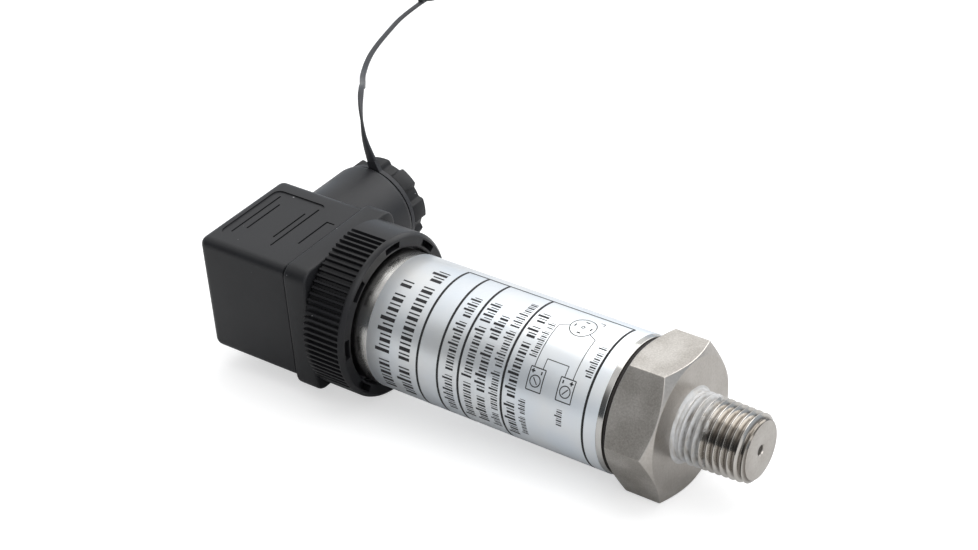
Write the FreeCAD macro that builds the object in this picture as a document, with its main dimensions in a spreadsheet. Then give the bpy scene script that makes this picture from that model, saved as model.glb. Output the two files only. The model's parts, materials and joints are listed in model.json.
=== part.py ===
import FreeCAD, Part
import math
import os
import re

import Sketcher
from FreeCAD import Placement, Rotation, Vector

# Pressure transmitter with a square right-angle plug, lying on its hexagon and its union ring.
# Main axis: local +X, from the plug through the tube to the pressure thread; x = 0 is the front
# face of the hexagon. The cable gland points along local +Y. Lengths are millimetres.

X_AXIS = Vector(1, 0, 0)
Y_AXIS = Vector(0, 1, 0)
Z_AXIS = Vector(0, 0, 1)

# ---------------------------------------------------------------- driving dimensions
SIZES = [
    # process fitting: hexagon, 1/4-18 taper pipe thread stub, pressure port
    ("hex_across_flats", 27.0, "spanner size of the hexagon"),
    ("hex_height", 10.0, "length of the hexagon along the axis"),
    ("hex_face_r", 13.2, "radius of the round face left by the 30 degree chamfer"),
    ("hex_chamfer_angle", 30.0, "chamfer of the hexagon corners"),
    ("stub_length", 14.5, "thread length in front of the hexagon"),
    ("stub_tip_r", 6.6, "crest radius at the small end of the thread"),
    ("stub_taper", 32.0, "millimetres of length for one millimetre of radius"),
    ("stub_bevel", 1.0, "bevel at the thread's first turn"),
    ("stub_root_fillet", 0.8, "fillet between stub and hexagon"),
    ("port_r", 1.0, "pressure port"),
    ("spigot_length", 6.0, "spigot behind the hexagon that enters the tube"),
    ("weld_gap", 0.3, "open groove between hexagon and tube"),
    # tube and label
    ("tube_r", 13.5, "outside of the stainless tube"),
    ("tube_wall", 1.25, "tube wall"),
    ("tube_length", 63.7, "tube length"),
    ("fit_gap", 0.05, "radial clearance of turned fits"),
    ("label_thickness", 0.12, "foil label"),
    ("label_start", 1.6, "bare tube between its front end and the label"),
    ("label_width", 52.5, "length of the label along the axis"),
    # sensor cell
    ("cell_r", 9.5, "sensor cell"),
    ("cell_length", 5.0, "sensor cell"),
    ("cell_depth", 6.0, "depth of the cell pocket's floor behind the hexagon's face"),
    ("cell_seal_section", 1.0, "o-ring section under the cell"),
    ("cell_seal_r", 6.0, "o-ring centre line"),
    ("retainer_length", 3.0, "threaded retainer behind the cell"),
    ("retainer_bore_r", 6.5, "hole of the retainer"),
    ("cell_pin_half", 0.3, "half the side of the cell's square solder pins"),
    ("cell_pin_length", 3.6, "solder pins of the cell"),
    ("cell_pin_pitch", 3.0, "sideways spacing of the pins"),
    # circuit board
    ("board_length", 42.0, "circuit board along the axis"),
    ("board_thickness", 1.6, "circuit board"),
    ("board_gap", 4.4, "from the retainer to the board"),
    ("edge_gap", 0.2, "board edge to tube bore"),
    ("wire_r", 0.45, "insulated lead wire"),
    # retaining ring on the tube
    ("clip_groove_depth", 0.5, "groove of the retaining ring in the tube"),
    ("clip_height", 1.4, "how far the retaining ring stands out of the tube"),
    ("clip_thickness", 1.2, "retaining ring"),
    ("clip_opening", 40.0, "degrees left open in the retaining ring"),
    ("clip_to_end", 1.8, "tube left behind the retaining ring"),
    # union ring
    ("ring_r", 17.05, "outside of the union ring"),
    ("ring_lip_length", 3.3, "inward lip that bears on the retaining ring"),
    ("ring_lip_gap", 0.6, "gap between lip and tube"),
    ("ring_bevel", 0.7, "bevel at the front edge"),
    ("ring_back_bevel", 0.3, "bevel at the rear edge"),
    ("rib_depth", 0.75, "depth of the grooves between the grip ribs"),
    ("rib_pitch", 4.3, "degrees from rib to rib"),
    ("rib_groove_width", 0.6, "groove width at the crest"),
    ("rib_groove_floor", 0.4, "groove width at the floor"),
    ("rib_front_land", 0.9, "plain band between the ribs and the front bevel"),
    ("rib_zone_start", 89.3, "angle of the first groove of a ribbed zone"),
    ("rib_grooves", 29, "grooves in each of the two ribbed zones"),
    ("pocket_count", 8, "moulding pockets in the front face"),
    ("pocket_inner_r", 14.65, "moulding pockets"),
    ("pocket_outer_r", 15.95, "moulding pockets"),
    ("pocket_half_angle", 8.0, "moulding pockets"),
    ("pocket_first_angle", 41.0, "moulding pockets"),
    ("pocket_depth", 2.0, "moulding pockets"),
    # connector base
    ("neck_wall", 1.6, "threaded neck around the tube end"),
    ("neck_length", 5.2, "threaded neck in front of the flange"),
    ("neck_slot", 1.35, "how far the tube end enters the neck beyond its rim"),
    ("tube_stop_gap", 0.05, "tube end to the floor of the slot"),
    ("flange_width", 28.4, "square flange"),
    ("flange_thickness", 5.5, "square flange"),
    ("flange_corner_r", 2.8, "square flange"),
    ("flange_edge_r", 0.6, "edge rounding of the flange"),
    ("flange_gap", 0.4, "flange to union ring"),
    ("base_spigot_length", 11.9, "spigot inside the tube"),
    ("base_cavity_r", 9.5, "room for the solder tags"),
    ("base_cavity_depth", 9.0, "room for the solder tags"),
    ("base_seal_section", 1.0, "o-ring on the spigot"),
    ("base_seal_place", 4.0, "o-ring groove centre behind the spigot's end"),
    ("boss_width", 18.0, "raised square inside the gasket"),
    ("boss_height", 1.6, "raised square above the flange"),
    # contacts
    ("blade_width", 5.0, "flat contact blade"),
    ("blade_thickness", 0.8, "flat contact blade"),
    ("blade_radius", 7.0, "distance of the blades from the axis"),
    ("blade_reach", 8.2, "blade length outside the flange"),
    ("tag_length", 3.6, "solder tag inside the spigot cavity"),
    ("insert_r", 2.6, "brass insert for the fixing screw"),
    ("insert_length", 6.0, "brass insert for the fixing screw"),
    # plug housing
    ("gasket_thickness", 0.8, "flat gasket under the plug"),
    ("gasket_inset", 0.25, "gasket edge inside the housing's edge"),
    ("box_width", 26.3, "square plug housing"),
    ("box_length", 22.2, "plug housing along the main axis"),
    ("box_wall", 2.0, "plug housing wall"),
    ("box_edge_r", 1.9, "rounding of the housing's long and rear edges"),
    ("barrel_r", 10.5, "gland barrel"),
    ("barrel_inset", 10.3, "gland axis in front of the housing's rear face"),
    ("barrel_reach", 29.4, "gland barrel's end from the main axis"),
    ("barrel_edge_r", 1.5, "rounding of the barrel's mouth"),
    ("passage_r", 4.6, "cable passage into the housing"),
    ("passage_length", 4.0, "cable passage into the housing"),
    ("chamber_r", 6.6, "grommet chamber"),
    ("chamber_length", 6.8, "grommet chamber"),
    ("gland_thread_r", 7.6, "threaded mouth of the barrel"),
    ("screw_r", 1.5, "M3 fixing screw"),
    ("screw_head_r", 2.9, "fixing screw head"),
    ("screw_head_length", 2.4, "fixing screw head"),
    ("screw_hole_r", 1.75, "clearance hole of the fixing screw"),
    ("screw_recess_r", 3.6, "recess for the screw head"),
    ("screw_recess_depth", 1.0, "recess for the screw head"),
    ("screw_seal_section", 0.6, "o-ring under the screw head"),
    ("panel_width", 18.3, "shallow panel on the housing's top"),
    ("panel_length", 13.2, "shallow panel on the housing's top"),
    ("panel_back", 2.3, "panel's rear edge from the housing's rear face"),
    ("panel_depth", 0.25, "shallow panel on the housing's top"),
    ("panel_corner_r", 1.6, "panel corners"),
    ("mark_width", 0.35, "ruled lines moulded into the panel"),
    ("mark_depth", 0.3, "ruled lines moulded into the panel"),
    # terminal block and its metal parts
    ("block_gap", 0.3, "terminal block to housing wall"),
    ("block_length", 13.4, "terminal block along the main axis"),
    ("block_face_gap", 0.3, "terminal block behind the base's boss"),
    ("block_corner_r", 1.5, "terminal block"),
    ("socket_width", 6.0, "socket clamp, across the blade"),
    ("socket_depth", 3.0, "socket clamp, through the blade"),
    ("socket_length", 8.2, "socket clamp"),
    ("socket_clearance", 0.1, "play of blade and clamp"),
    ("terminal_screw_r", 1.25, "terminal screw thread"),
    ("terminal_head_r", 1.9, "terminal screw head"),
    ("terminal_head_length", 1.4, "terminal screw head"),
    # gland parts, along the gland axis
    ("grommet_bore_r", 3.2, "cable hole of the grommet"),
    ("grommet_length", 7.6, "cable grommet"),
    ("washer_thickness", 1.0, "pressure washer"),
    ("washer_bore_r", 4.2, "pressure washer"),
    ("nut_thread_r", 7.5, "threaded shank of the gland nut"),
    ("nut_bore_r", 4.0, "cable hole of the gland nut"),
    ("nut_head_length", 4.0, "lobed head of the gland nut"),
    ("nut_lobe_r", 9.9, "outside of the lobes"),
    ("nut_valley_r", 8.95, "floor of the valleys"),
    ("nut_valley_half", 10.5, "half angle of a valley"),
    ("nut_lobes", 8, "lobes of the gland nut"),
    ("nut_lobe_angle", 40.0, "angle of one lobe from the main axis"),
    ("nut_bevel", 0.7, "bevel of the cable mouth"),
    ("loop_thickness", 1.0, "strap loop trapped under the nut"),
    ("loop_r", 9.9, "strap loop"),
    ("loop_bore_r", 7.75, "strap loop"),
    ("tongue_reach", 11.6, "end of the strap's root from the gland axis"),
    ("tongue_offset", 1.2, "middle of the strap's root from the gland's top, where it leaves"),
    ("tongue_lean", 20.0, "lean of the strap's root away from the union ring"),
    ("tongue_root_width", 3.0, "strap's root at the loop"),
    ("tongue_end_width", 2.2, "strap's root at its end"),
    ("strap_rise", 4.3, "first run of the strap, in line with its root"),
    ("strap_r", 0.75, "half the strap's width"),
    ("eyelet_r", 3.0, "eyelet at the strap's end"),
    ("eyelet_bore_r", 1.4, "eyelet at the strap's end"),
    ("eyelet_thickness", 1.4, "eyelet at the strap's end"),
    ("eyelet_neck", 2.6, "short neck from strap to eyelet"),
    # how the transmitter lies
    ("plug_clocking", 5.72, "degrees the plug is turned from the hexagon's flats"),
]

# Route of the free strap after its first short run, in the finished frame: it arcs over behind
# the gland, comes down to the floor and lies on it in a long bend. Heights are of its underside.
STRAP_ROUTE = [
    (-51.2, 20.6, 40.0),
    (-53.8, 23.5, 42.5),
    (-58.6, 29.9, 43.3),
    (-68.0, 41.4, 37.4),
    (-83.7, 60.0, 26.6),
    (-104.3, 84.2, 14.0),
    (-121.2, 104.0, 5.2),
    (-132.7, 117.6, 0.0),
    (-138.7, 127.4, 0.0),
    (-142.8, 136.2, 0.0),
    (-146.7, 146.7, 0.0),
    (-150.7, 158.0, 0.0),
    (-152.6, 169.2, 0.0),
]

doc = FreeCAD.newDocument("pressure_transmitter")
sheet = doc.addObject("Spreadsheet::Sheet", "Sizes")
for row, (alias, value, note) in enumerate(SIZES, start=1):
    sheet.set(f"A{row}", note)
    sheet.set(f"B{row}", str(value))
    sheet.setAlias(f"B{row}", alias)
doc.recompute()
ALIASES = {alias for alias, value, note in SIZES}


def linked(text):
    """The same formula with each size name pointing into the sheet."""
    return re.sub(r"[a-z][a-z0-9_]*", lambda m: f"Sizes.{m[0]}" if m[0] in ALIASES else m[0], text)


def size(text):
    """The present value of a formula of named sizes."""
    return float(sheet.evalExpression(linked(text)))


def bind(thing, prop, text):
    thing.setExpression(prop, linked(text))


# Places along the main axis that several pieces share, as formulas of the sizes above.
TUBE_FRONT = "-hex_height - weld_gap"
TUBE_END = "-hex_height - weld_gap - tube_length"
TUBE_BORE = "(tube_r - tube_wall)"
CLIP_BACK = f"({TUBE_END} + clip_to_end)"
CLIP_FRONT = f"({CLIP_BACK} + clip_thickness)"
RING_SHOULDER = f"({CLIP_FRONT} + fit_gap)"
RING_FRONT = f"({RING_SHOULDER} + ring_lip_length)"
NECK_RIM = f"({TUBE_END} + neck_slot)"
NECK_BORE = "(tube_r + fit_gap)"
NECK_R = "(tube_r + fit_gap + neck_wall)"
FLANGE_FRONT = f"({NECK_RIM} - neck_length)"
RING_BACK = f"({FLANGE_FRONT} + flange_gap)"
FLANGE_BACK = f"({FLANGE_FRONT} - flange_thickness)"
BOSS_BACK = f"({FLANGE_BACK} - boss_height)"
BOX_FRONT = f"({FLANGE_BACK} - gasket_thickness)"
BOX_BACK = f"({BOX_FRONT} - box_length)"
GLAND_X = f"({BOX_BACK} + barrel_inset)"
BOX_HALF = "(box_width / 2)"
CAVITY_HALF = "(box_width / 2 - box_wall)"
BLOCK_FRONT = f"({BOSS_BACK} - block_face_gap)"
BLOCK_BACK = f"({BLOCK_FRONT} - block_length)"
SOCKET_BACK = f"({BLOCK_FRONT} - 0.5 - socket_length)"
CELL_FRONT = "(-cell_depth - cell_seal_section)"
CELL_BACK = f"({CELL_FRONT} - cell_length)"
RETAINER_BACK = f"({CELL_BACK} - retainer_length)"
CELL_POCKET_R = "(cell_r + 0.1)"
SPIGOT_BACK = "(-hex_height - spigot_length)"
BOARD_FRONT = f"({RETAINER_BACK} - board_gap)"
BOARD_BACK = f"({BOARD_FRONT} - board_length)"
BASE_SPIGOT_END = f"({FLANGE_FRONT} + base_spigot_length)"
CAVITY_FLOOR = f"({BASE_SPIGOT_END} - base_cavity_depth)"
CHAMBER_START = f"({CAVITY_HALF} + passage_length)"
THREAD_START = f"({CHAMBER_START} + chamber_length)"
GROMMET_START = f"({CHAMBER_START} + fit_gap)"
WASHER_START = f"({GROMMET_START} + grommet_length + fit_gap)"
SHANK_START = f"({WASHER_START} + washer_thickness + fit_gap)"
NUT_START = "(barrel_reach + loop_thickness + fit_gap)"


# ---------------------------------------------------------------- modelling helpers
def new_body(name):
    body = doc.addObject("PartDesign::Body", name)
    body.Label = name
    return body


def new_sketch(body, role, name, offset=None, turn=None):
    """A sketch on one of the body's own origin planes, moved along the plane's normal."""
    sketch = body.newObject("Sketcher::SketchObject", f"{body.Name}_{name}_sketch")
    plane = next(item for item in body.Origin.OriginFeatures if item.Role == role)
    sketch.AttachmentSupport = [(plane, "")]
    sketch.MapMode = "FlatFace"
    if turn:
        sketch.AttachmentOffset = Placement(Vector(), Rotation(Z_AXIS, size(turn)))
        bind(sketch, "AttachmentOffset.Rotation.Angle", turn)
    if offset:
        bind(sketch, "AttachmentOffset.Base.z", offset)
    return sketch


def hold_point(sketch, geometry, point, across, up):
    """Dimensions a sketch point from the origin by two formulas."""
    for kind, formula in (("DistanceX", across), ("DistanceY", up)):
        index = sketch.addConstraint(
            Sketcher.Constraint(kind, -1, 1, geometry, point, size(formula)))
        bind(sketch, f"Constraints[{index}]", formula)


def outline(sketch, corners):
    """A closed outline of straight lines, each corner given by two formulas."""
    points = [Vector(size(across), size(up), 0) for across, up in corners]
    first = sketch.GeometryCount
    count = len(points)
    for i in range(count):
        sketch.addGeometry(Part.LineSegment(points[i], points[(i + 1) % count]), False)
    for i in range(count):
        follower = first + (i + 1) % count
        sketch.addConstraint(Sketcher.Constraint("Coincident", first + i, 2, follower, 1))
    for i, (across, up) in enumerate(corners):
        hold_point(sketch, first + i, 1, across, up)


def disc(sketch, across, up, radius):
    """A circle with its centre and radius given by formulas."""
    centre = Vector(size(across), size(up), 0)
    index = sketch.addGeometry(Part.Circle(centre, Z_AXIS, size(radius)), False)
    hold_point(sketch, index, 3, across, up)
    rule = sketch.addConstraint(Sketcher.Constraint("Radius", index, size(radius)))
    bind(sketch, f"Constraints[{rule}]", radius)


def rectangle(sketch, left, right, low, high):
    outline(sketch, [(left, low), (right, low), (right, high), (left, high)])


def turned(body, name, corners, cut=False):
    """A revolution, or a groove, about the main axis; corners are (x, radius)."""
    sketch = new_sketch(body, "XY_Plane", name)
    outline(sketch, corners)
    kind = "PartDesign::Groove" if cut else "PartDesign::Revolution"
    feature = body.newObject(kind, f"{body.Name}_{name}")
    feature.Profile = sketch
    feature.ReferenceAxis = (sketch, ["H_Axis"])
    feature.Angle = 360
    return feature


def padded(body, sketch, name, length, reverse=False):
    feature = body.newObject("PartDesign::Pad", f"{body.Name}_{name}")
    feature.Profile = sketch
    bind(feature, "Length", length)
    feature.Reversed = reverse
    return feature


def pocketed(body, sketch, name, length, reverse=False):
    """A pocket; its volume is compared so that none points away from the solid."""
    doc.recompute()
    before = body.Shape.Volume
    feature = body.newObject("PartDesign::Pocket", f"{body.Name}_{name}")
    feature.Profile = sketch
    bind(feature, "Length", length)
    feature.Reversed = reverse
    doc.recompute()
    if body.Shape.Volume > before - 1e-4:
        raise RuntimeError(f"{feature.Name} cuts nothing")
    return feature


def repeated(body, sketch, name, original, angle, count):
    """Copies of a feature about the sketch's normal."""
    feature = body.newObject("PartDesign::PolarPattern", f"{body.Name}_{name}")
    feature.Originals = [original]
    feature.Axis = (sketch, ["N_Axis"])
    bind(feature, "Angle", angle)
    bind(feature, "Occurrences", count)
    body.Tip = feature
    return feature


def dressed(body, kind, name, value, wanted):
    """A fillet or chamfer on the edges of the tip that the test accepts."""
    doc.recompute()
    base = body.Tip
    edges = [f"Edge{i}" for i, edge in enumerate(base.Shape.Edges, start=1) if wanted(edge)]
    feature = body.newObject(f"PartDesign::{kind}", f"{body.Name}_{name}")
    feature.Base = (base, edges)
    bind(feature, "Radius" if kind == "Fillet" else "Size", value)
    return feature


def runs_along(edge, axis):
    """True for a straight edge parallel to the axis."""
    if len(edge.Vertexes) != 2:
        return False
    chord = edge.Vertexes[1].Point - edge.Vertexes[0].Point
    straight = abs(chord.Length - edge.Length) < 1e-6
    return straight and abs(abs(chord.normalize().dot(axis)) - 1) < 1e-6


def lies_at(edge, axis, place):
    """True for an edge that lies across the axis, at one place along it."""
    spots = [vertex.Point for vertex in edge.Vertexes] + [edge.CenterOfMass]
    return all(abs(spot.dot(axis) - place) < 1e-3 for spot in spots)


def plain(name, shape):
    """A piece whose shape is set directly."""
    feature = doc.addObject("Part::Feature", name)
    feature.Label = name
    feature.Shape = shape
    return feature


def smooth_path(points):
    """Straight runs joined by tangent arcs, each as large as its two runs allow."""
    points = [Vector(*point) for point in points]
    edges = []
    radii = []
    start = points[0]
    for before, corner, after in zip(points, points[1:], points[2:]):
        inward = (before - corner).normalize()
        outward = (after - corner).normalize()
        half_turn = (math.pi - inward.getAngle(outward)) / 2
        setback = 0.45 * min((before - corner).Length, (after - corner).Length)
        radius = setback / math.tan(half_turn)
        arc_start = corner + inward * setback
        arc_end = corner + outward * setback
        middle = (inward + outward).normalize()
        arc_middle = corner + middle * (radius / math.cos(half_turn) - radius)
        edges.append(Part.LineSegment(start, arc_start).toShape())
        edges.append(Part.Arc(arc_start, arc_middle, arc_end).toShape())
        radii.append(radius)
        start = arc_end
    edges.append(Part.LineSegment(start, points[-1]).toShape())
    return Part.Wire(edges), radii


def cord_along(points, radius):
    """A plain cord of eight-sided section along a smooth path, with its length and arc radii."""
    path, radii = smooth_path(points)
    start = Vector(*points[0])
    direction = (Vector(*points[1]) - start).normalize()
    spoke = direction.cross(Z_AXIS).normalize() * (radius / math.cos(math.radians(22.5)))
    corners = [start + Rotation(direction, 22.5 + 45 * i).multVec(spoke) for i in range(8)]
    cord = path.makePipeShell([Part.makePolygon(corners + corners[:1])], True, False)
    section = 8 * radius ** 2 * math.tan(math.radians(22.5))
    expected = section * path.Length
    if abs(cord.Volume - expected) > 0.01 * expected:
        raise RuntimeError("the cord's volume differs from its section times its length")
    return cord, path.Length, radii


# ---------------------------------------------------------------- process side
def make_process_fitting():
    """Turned and milled from one stainless bar: hexagon, taper stub, spigot and cell pocket."""
    body = new_body("process_fitting")
    corner = "hex_across_flats / 2 / cos(30)"
    sketch = new_sketch(body, "YZ_Plane", "hexagon")
    outline(sketch, [(f"{corner} * cos({60 * i})", f"{corner} * sin({60 * i})") for i in range(6)])
    padded(body, sketch, "hexagon", "hex_height", reverse=True)
    reach = "(hex_across_flats * 0.62)"
    slope = f"({reach} - hex_face_r) * tan(hex_chamfer_angle)"
    turned(body, "front_chamfer", [("0", "hex_face_r"), ("0", reach), (f"-{slope}", reach)], cut=True)
    rear = "-hex_height"
    turned(body, "rear_chamfer",
           [(rear, "hex_face_r"), (rear, reach), (f"{rear} + {slope}", reach)], cut=True)
    crest_at_hex = "(stub_tip_r + stub_length / stub_taper)"
    turned(body, "stub", [
        ("-1", "0"),
        ("stub_length", "0"),
        ("stub_length", "stub_tip_r - stub_bevel"),
        ("stub_length - stub_bevel", "stub_tip_r"),
        ("0", crest_at_hex),
        ("-1", crest_at_hex),
    ])
    spigot_r = f"({TUBE_BORE} - fit_gap)"
    turned(body, "spigot", [
        ("-hex_height + 1", "0"),
        ("-hex_height + 1", spigot_r),
        (SPIGOT_BACK, spigot_r),
        (SPIGOT_BACK, "0"),
    ])
    turned(body, "cell_pocket", [
        (f"{SPIGOT_BACK} - 1", "0"),
        (f"{SPIGOT_BACK} - 1", CELL_POCKET_R),
        ("-cell_depth", CELL_POCKET_R),
        ("-cell_depth", "0"),
    ], cut=True)
    turned(body, "port", [
        ("-cell_depth - 1", "0"),
        ("-cell_depth - 1", "port_r"),
        ("stub_length + 1", "port_r"),
        ("stub_length + 1", "0"),
    ], cut=True)
    crest = size(crest_at_hex)
    dressed(body, "Fillet", "root_fillet", "stub_root_fillet",
            lambda edge: lies_at(edge, X_AXIS, 0) and abs(edge.BoundBox.ZLength / 2 - crest) < 0.01)
    return body


def make_body_tube():
    """Stainless tube with a groove near its rear end for the retaining ring."""
    body = new_body("body_tube")
    floor = "(tube_r - clip_groove_depth)"
    turned(body, "wall", [
        (TUBE_FRONT, TUBE_BORE),
        (TUBE_FRONT, "tube_r"),
        (CLIP_FRONT, "tube_r"),
        (CLIP_FRONT, floor),
        (CLIP_BACK, floor),
        (CLIP_BACK, "tube_r"),
        (TUBE_END, "tube_r"),
        (TUBE_END, TUBE_BORE),
    ])
    return body


def make_label():
    """Metallised foil label wrapped once round the tube."""
    body = new_body("label")
    front = f"({TUBE_FRONT} - label_start)"
    turned(body, "foil", [
        (front, "tube_r"),
        (front, "tube_r + label_thickness"),
        (f"{front} - label_width", "tube_r + label_thickness"),
        (f"{front} - label_width", "tube_r"),
    ])
    return body


def make_sensor_cell():
    """Pressure cell: disc with a shallow diaphragm recess and four solder pins."""
    body = new_body("sensor_cell")
    turned(body, "disc", [(CELL_FRONT, "0"), (CELL_FRONT, "cell_r"), (CELL_BACK, "cell_r"), (CELL_BACK, "0")])
    turned(body, "diaphragm", [
        (f"{CELL_FRONT} + 1", "0"),
        (f"{CELL_FRONT} + 1", "cell_r * 0.45"),
        (f"{CELL_FRONT} - 0.4", "cell_r * 0.45"),
        (f"{CELL_FRONT} - 0.4", "0"),
    ], cut=True)
    sketch = new_sketch(body, "YZ_Plane", "pins", offset=CELL_BACK)
    height = "board_thickness / 2 + wire_r"
    for place in (-1.5, -0.5, 0.5, 1.5):
        middle = f"{place} * cell_pin_pitch"
        rectangle(sketch, f"{middle} - cell_pin_half", f"{middle} + cell_pin_half",
                  f"{height} - cell_pin_half", f"{height} + cell_pin_half")
    padded(body, sketch, "pins", "cell_pin_length", reverse=True)
    return body


def seal_ring(name, middle, radius, section, pressed_radially=False):
    """An o-ring about the main axis; its section is six-sided, flat where it is pressed."""
    body = new_body(name)
    corners = []
    for step in range(6):
        angle = 60 * step + (0 if pressed_radially else 30)
        corners.append((f"{middle} + ({section}) / 2 * cos({angle})",
                        f"{radius} + ({section}) / 2 * sin({angle})"))
    turned(body, "ring", corners)
    return body


def make_cell_seal():
    """O-ring pressed between the pocket floor and the cell."""
    return seal_ring("cell_seal", "(-cell_depth - cell_seal_section / 2)", "cell_seal_r",
                     "cell_seal_section / cos(30)")


def make_cell_retainer():
    """Threaded ring behind the cell, with two holes for a pin spanner."""
    body = new_body("cell_retainer")
    outer = f"({CELL_POCKET_R} - 0.02)"
    turned(body, "ring", [
        (CELL_BACK, "retainer_bore_r"),
        (CELL_BACK, outer),
        (RETAINER_BACK, outer),
        (RETAINER_BACK, "retainer_bore_r"),
    ])
    sketch = new_sketch(body, "YZ_Plane", "spanner_holes", offset=RETAINER_BACK)
    for sign in ("", "-"):
        disc(sketch, "0", f"{sign}(retainer_bore_r + cell_r) / 2", "0.8")
    pocketed(body, sketch, "spanner_holes", "retainer_length / 2", reverse=True)
    return body


def make_circuit_board():
    """Board that slides into the tube and is guided by the tube's bore."""
    body = new_body("circuit_board")
    half = f"({TUBE_BORE} - edge_gap)"
    sketch = new_sketch(body, "XY_Plane", "board", offset="-board_thickness / 2")
    rectangle(sketch, BOARD_BACK, BOARD_FRONT, f"-{half}", half)
    padded(body, sketch, "board", "board_thickness")
    return body


def make_board_components():
    """Amplifier, output driver, capacitors and a trimmer, soldered on the board's upper face."""
    front = size(BOARD_FRONT)
    top = size("board_thickness / 2")
    chips = [  # distance behind the board's front edge, sideways place, length, width, height
        (13.0, 0.0, 8.0, 6.0, 1.6),
        (26.0, -5.5, 5.0, 4.0, 1.5),
        (26.0, 4.5, 6.4, 6.4, 2.6),
        (8.0, 7.5, 3.2, 1.6, 1.0),
        (8.0, -7.5, 3.2, 1.6, 1.0),
        (19.5, 7.0, 2.0, 1.2, 0.8),
        (19.5, -7.0, 2.0, 1.2, 0.8),
        (35.0, -7.0, 3.5, 2.8, 1.9),
    ]
    solids = []
    for behind, aside, long, wide, high in chips:
        corner = Vector(front - behind - long / 2, aside - wide / 2, top)
        solids.append(Part.makeBox(long, wide, high, corner))
    solids.append(Part.makeCylinder(2.5, 5.0, Vector(front - 33.0, 3.0, top), Z_AXIS))
    return plain("board_components", Part.makeCompound(solids))


def make_cell_wires():
    """Four short wires from the cell's pins along the board."""
    start = size(f"{CELL_BACK} - cell_pin_length")
    end = size(BOARD_FRONT) - 3.0
    height = size("board_thickness / 2 + wire_r")
    wires = []
    for place in (-1.5, -0.5, 0.5, 1.5):
        aside = place * size("cell_pin_pitch")
        wires.append(cord_along([(start, aside, height), (end, aside, height)], size("wire_r"))[0])
    return plain("cell_wires", Part.makeCompound(wires))


def blade_places():
    """Centres and turns of the four contacts round the main axis; the last one is earth."""
    radius = size("blade_radius")
    return [(radius * math.cos(math.radians(a)), radius * math.sin(math.radians(a)), a)
            for a in (90, 180, 270, 0)]


def make_output_wires():
    """Three wires from the board's rear end to the solder tags of the connector base."""
    tag = size(f"{CAVITY_FLOOR} + tag_length")
    height = size("board_thickness / 2 + wire_r")
    inward = 1 - size("blade_thickness / 2 + wire_r") / size("blade_radius")
    turn = Rotation(X_AXIS, size("plug_clocking"))
    wires = []
    for (across, up, angle), aside in zip(blade_places()[:3], (2.5, -6.0, -1.5)):
        start = (size(BOARD_BACK) + 2.0, aside, height)
        edge = (size(BOARD_BACK) - 0.5, aside, height)
        end = turn.multVec(Vector(tag - 1.5, across * inward, up * inward))
        wires.append(cord_along([start, edge, tuple(end)], size("wire_r"))[0])
    return plain("output_wires", Part.makeCompound(wires))


def make_retaining_ring():
    """Open spring ring in the tube's groove; the union ring's lip bears on it."""
    body = new_body("retaining_ring")
    inner = "(tube_r - clip_groove_depth + 0.03)"
    turned(body, "ring", [
        (f"{CLIP_FRONT} - 0.02", inner),
        (f"{CLIP_FRONT} - 0.02", "tube_r + clip_height"),
        (f"{CLIP_BACK} + 0.02", "tube_r + clip_height"),
        (f"{CLIP_BACK} + 0.02", inner),
    ])
    half = "(clip_opening / 2)"
    far = "(tube_r * 1.6)"
    sketch = new_sketch(body, "YZ_Plane", "opening", offset=f"{CLIP_FRONT} + 1")
    outline(sketch, [("0", "0"), (f"{far} * sin({half})", f"{far} * cos({half})"),
                     (f"-{far} * sin({half})", f"{far} * cos({half})")])
    pocketed(body, sketch, "opening", "clip_thickness + 2")
    return body


# ---------------------------------------------------------------- union ring
def make_union_ring():
    """Moulded ring: plain lip, threaded skirt, two ribbed grip zones and front pockets."""
    body = new_body("union_ring")
    lip_bore = "(tube_r + ring_lip_gap)"
    thread_bore = f"({NECK_R} + fit_gap)"
    turned(body, "ring", [
        (RING_FRONT, lip_bore),
        (RING_FRONT, "ring_r - ring_bevel"),
        (f"{RING_FRONT} - ring_bevel", "ring_r"),
        (f"{RING_BACK} + ring_back_bevel", "ring_r"),
        (RING_BACK, "ring_r - ring_back_bevel"),
        (RING_BACK, thread_bore),
        (RING_SHOULDER, thread_bore),
        (RING_SHOULDER, lip_bore),
    ])
    low = "(ring_r - rib_depth)"
    high = "(ring_r + 0.3)"
    groove_length = f"({RING_FRONT} - ring_bevel - rib_front_land) - ({RING_BACK} - 1)"
    zone_angle = "rib_pitch * (rib_grooves - 1)"
    for zone, start in (("front", "rib_zone_start"), ("back", "rib_zone_start + 180")):
        sketch = new_sketch(body, "YZ_Plane", f"{zone}_groove", offset=f"{RING_BACK} - 1", turn=start)
        outline(sketch, [
            (low, "-rib_groove_floor / 2"),
            (high, "-rib_groove_width / 2"),
            (high, "rib_groove_width / 2"),
            (low, "rib_groove_floor / 2"),
        ])
        groove = pocketed(body, sketch, f"{zone}_groove", groove_length, reverse=True)
        repeated(body, sketch, f"{zone}_ribs", groove, zone_angle, "rib_grooves")
    sketch = new_sketch(body, "YZ_Plane", "front_pocket", offset=RING_FRONT, turn="pocket_first_angle")
    corners = [
        ("pocket_inner_r", "-pocket_half_angle"),
        ("pocket_outer_r", "-pocket_half_angle"),
        ("pocket_outer_r", "0"),
        ("pocket_outer_r", "pocket_half_angle"),
        ("pocket_inner_r", "pocket_half_angle"),
    ]
    outline(sketch, [(f"{r} * cos({a})", f"{r} * sin({a})") for r, a in corners])
    pocket = pocketed(body, sketch, "front_pocket", "pocket_depth")
    repeated(body, sketch, "front_pockets", pocket, "360", "pocket_count")
    return body


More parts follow.
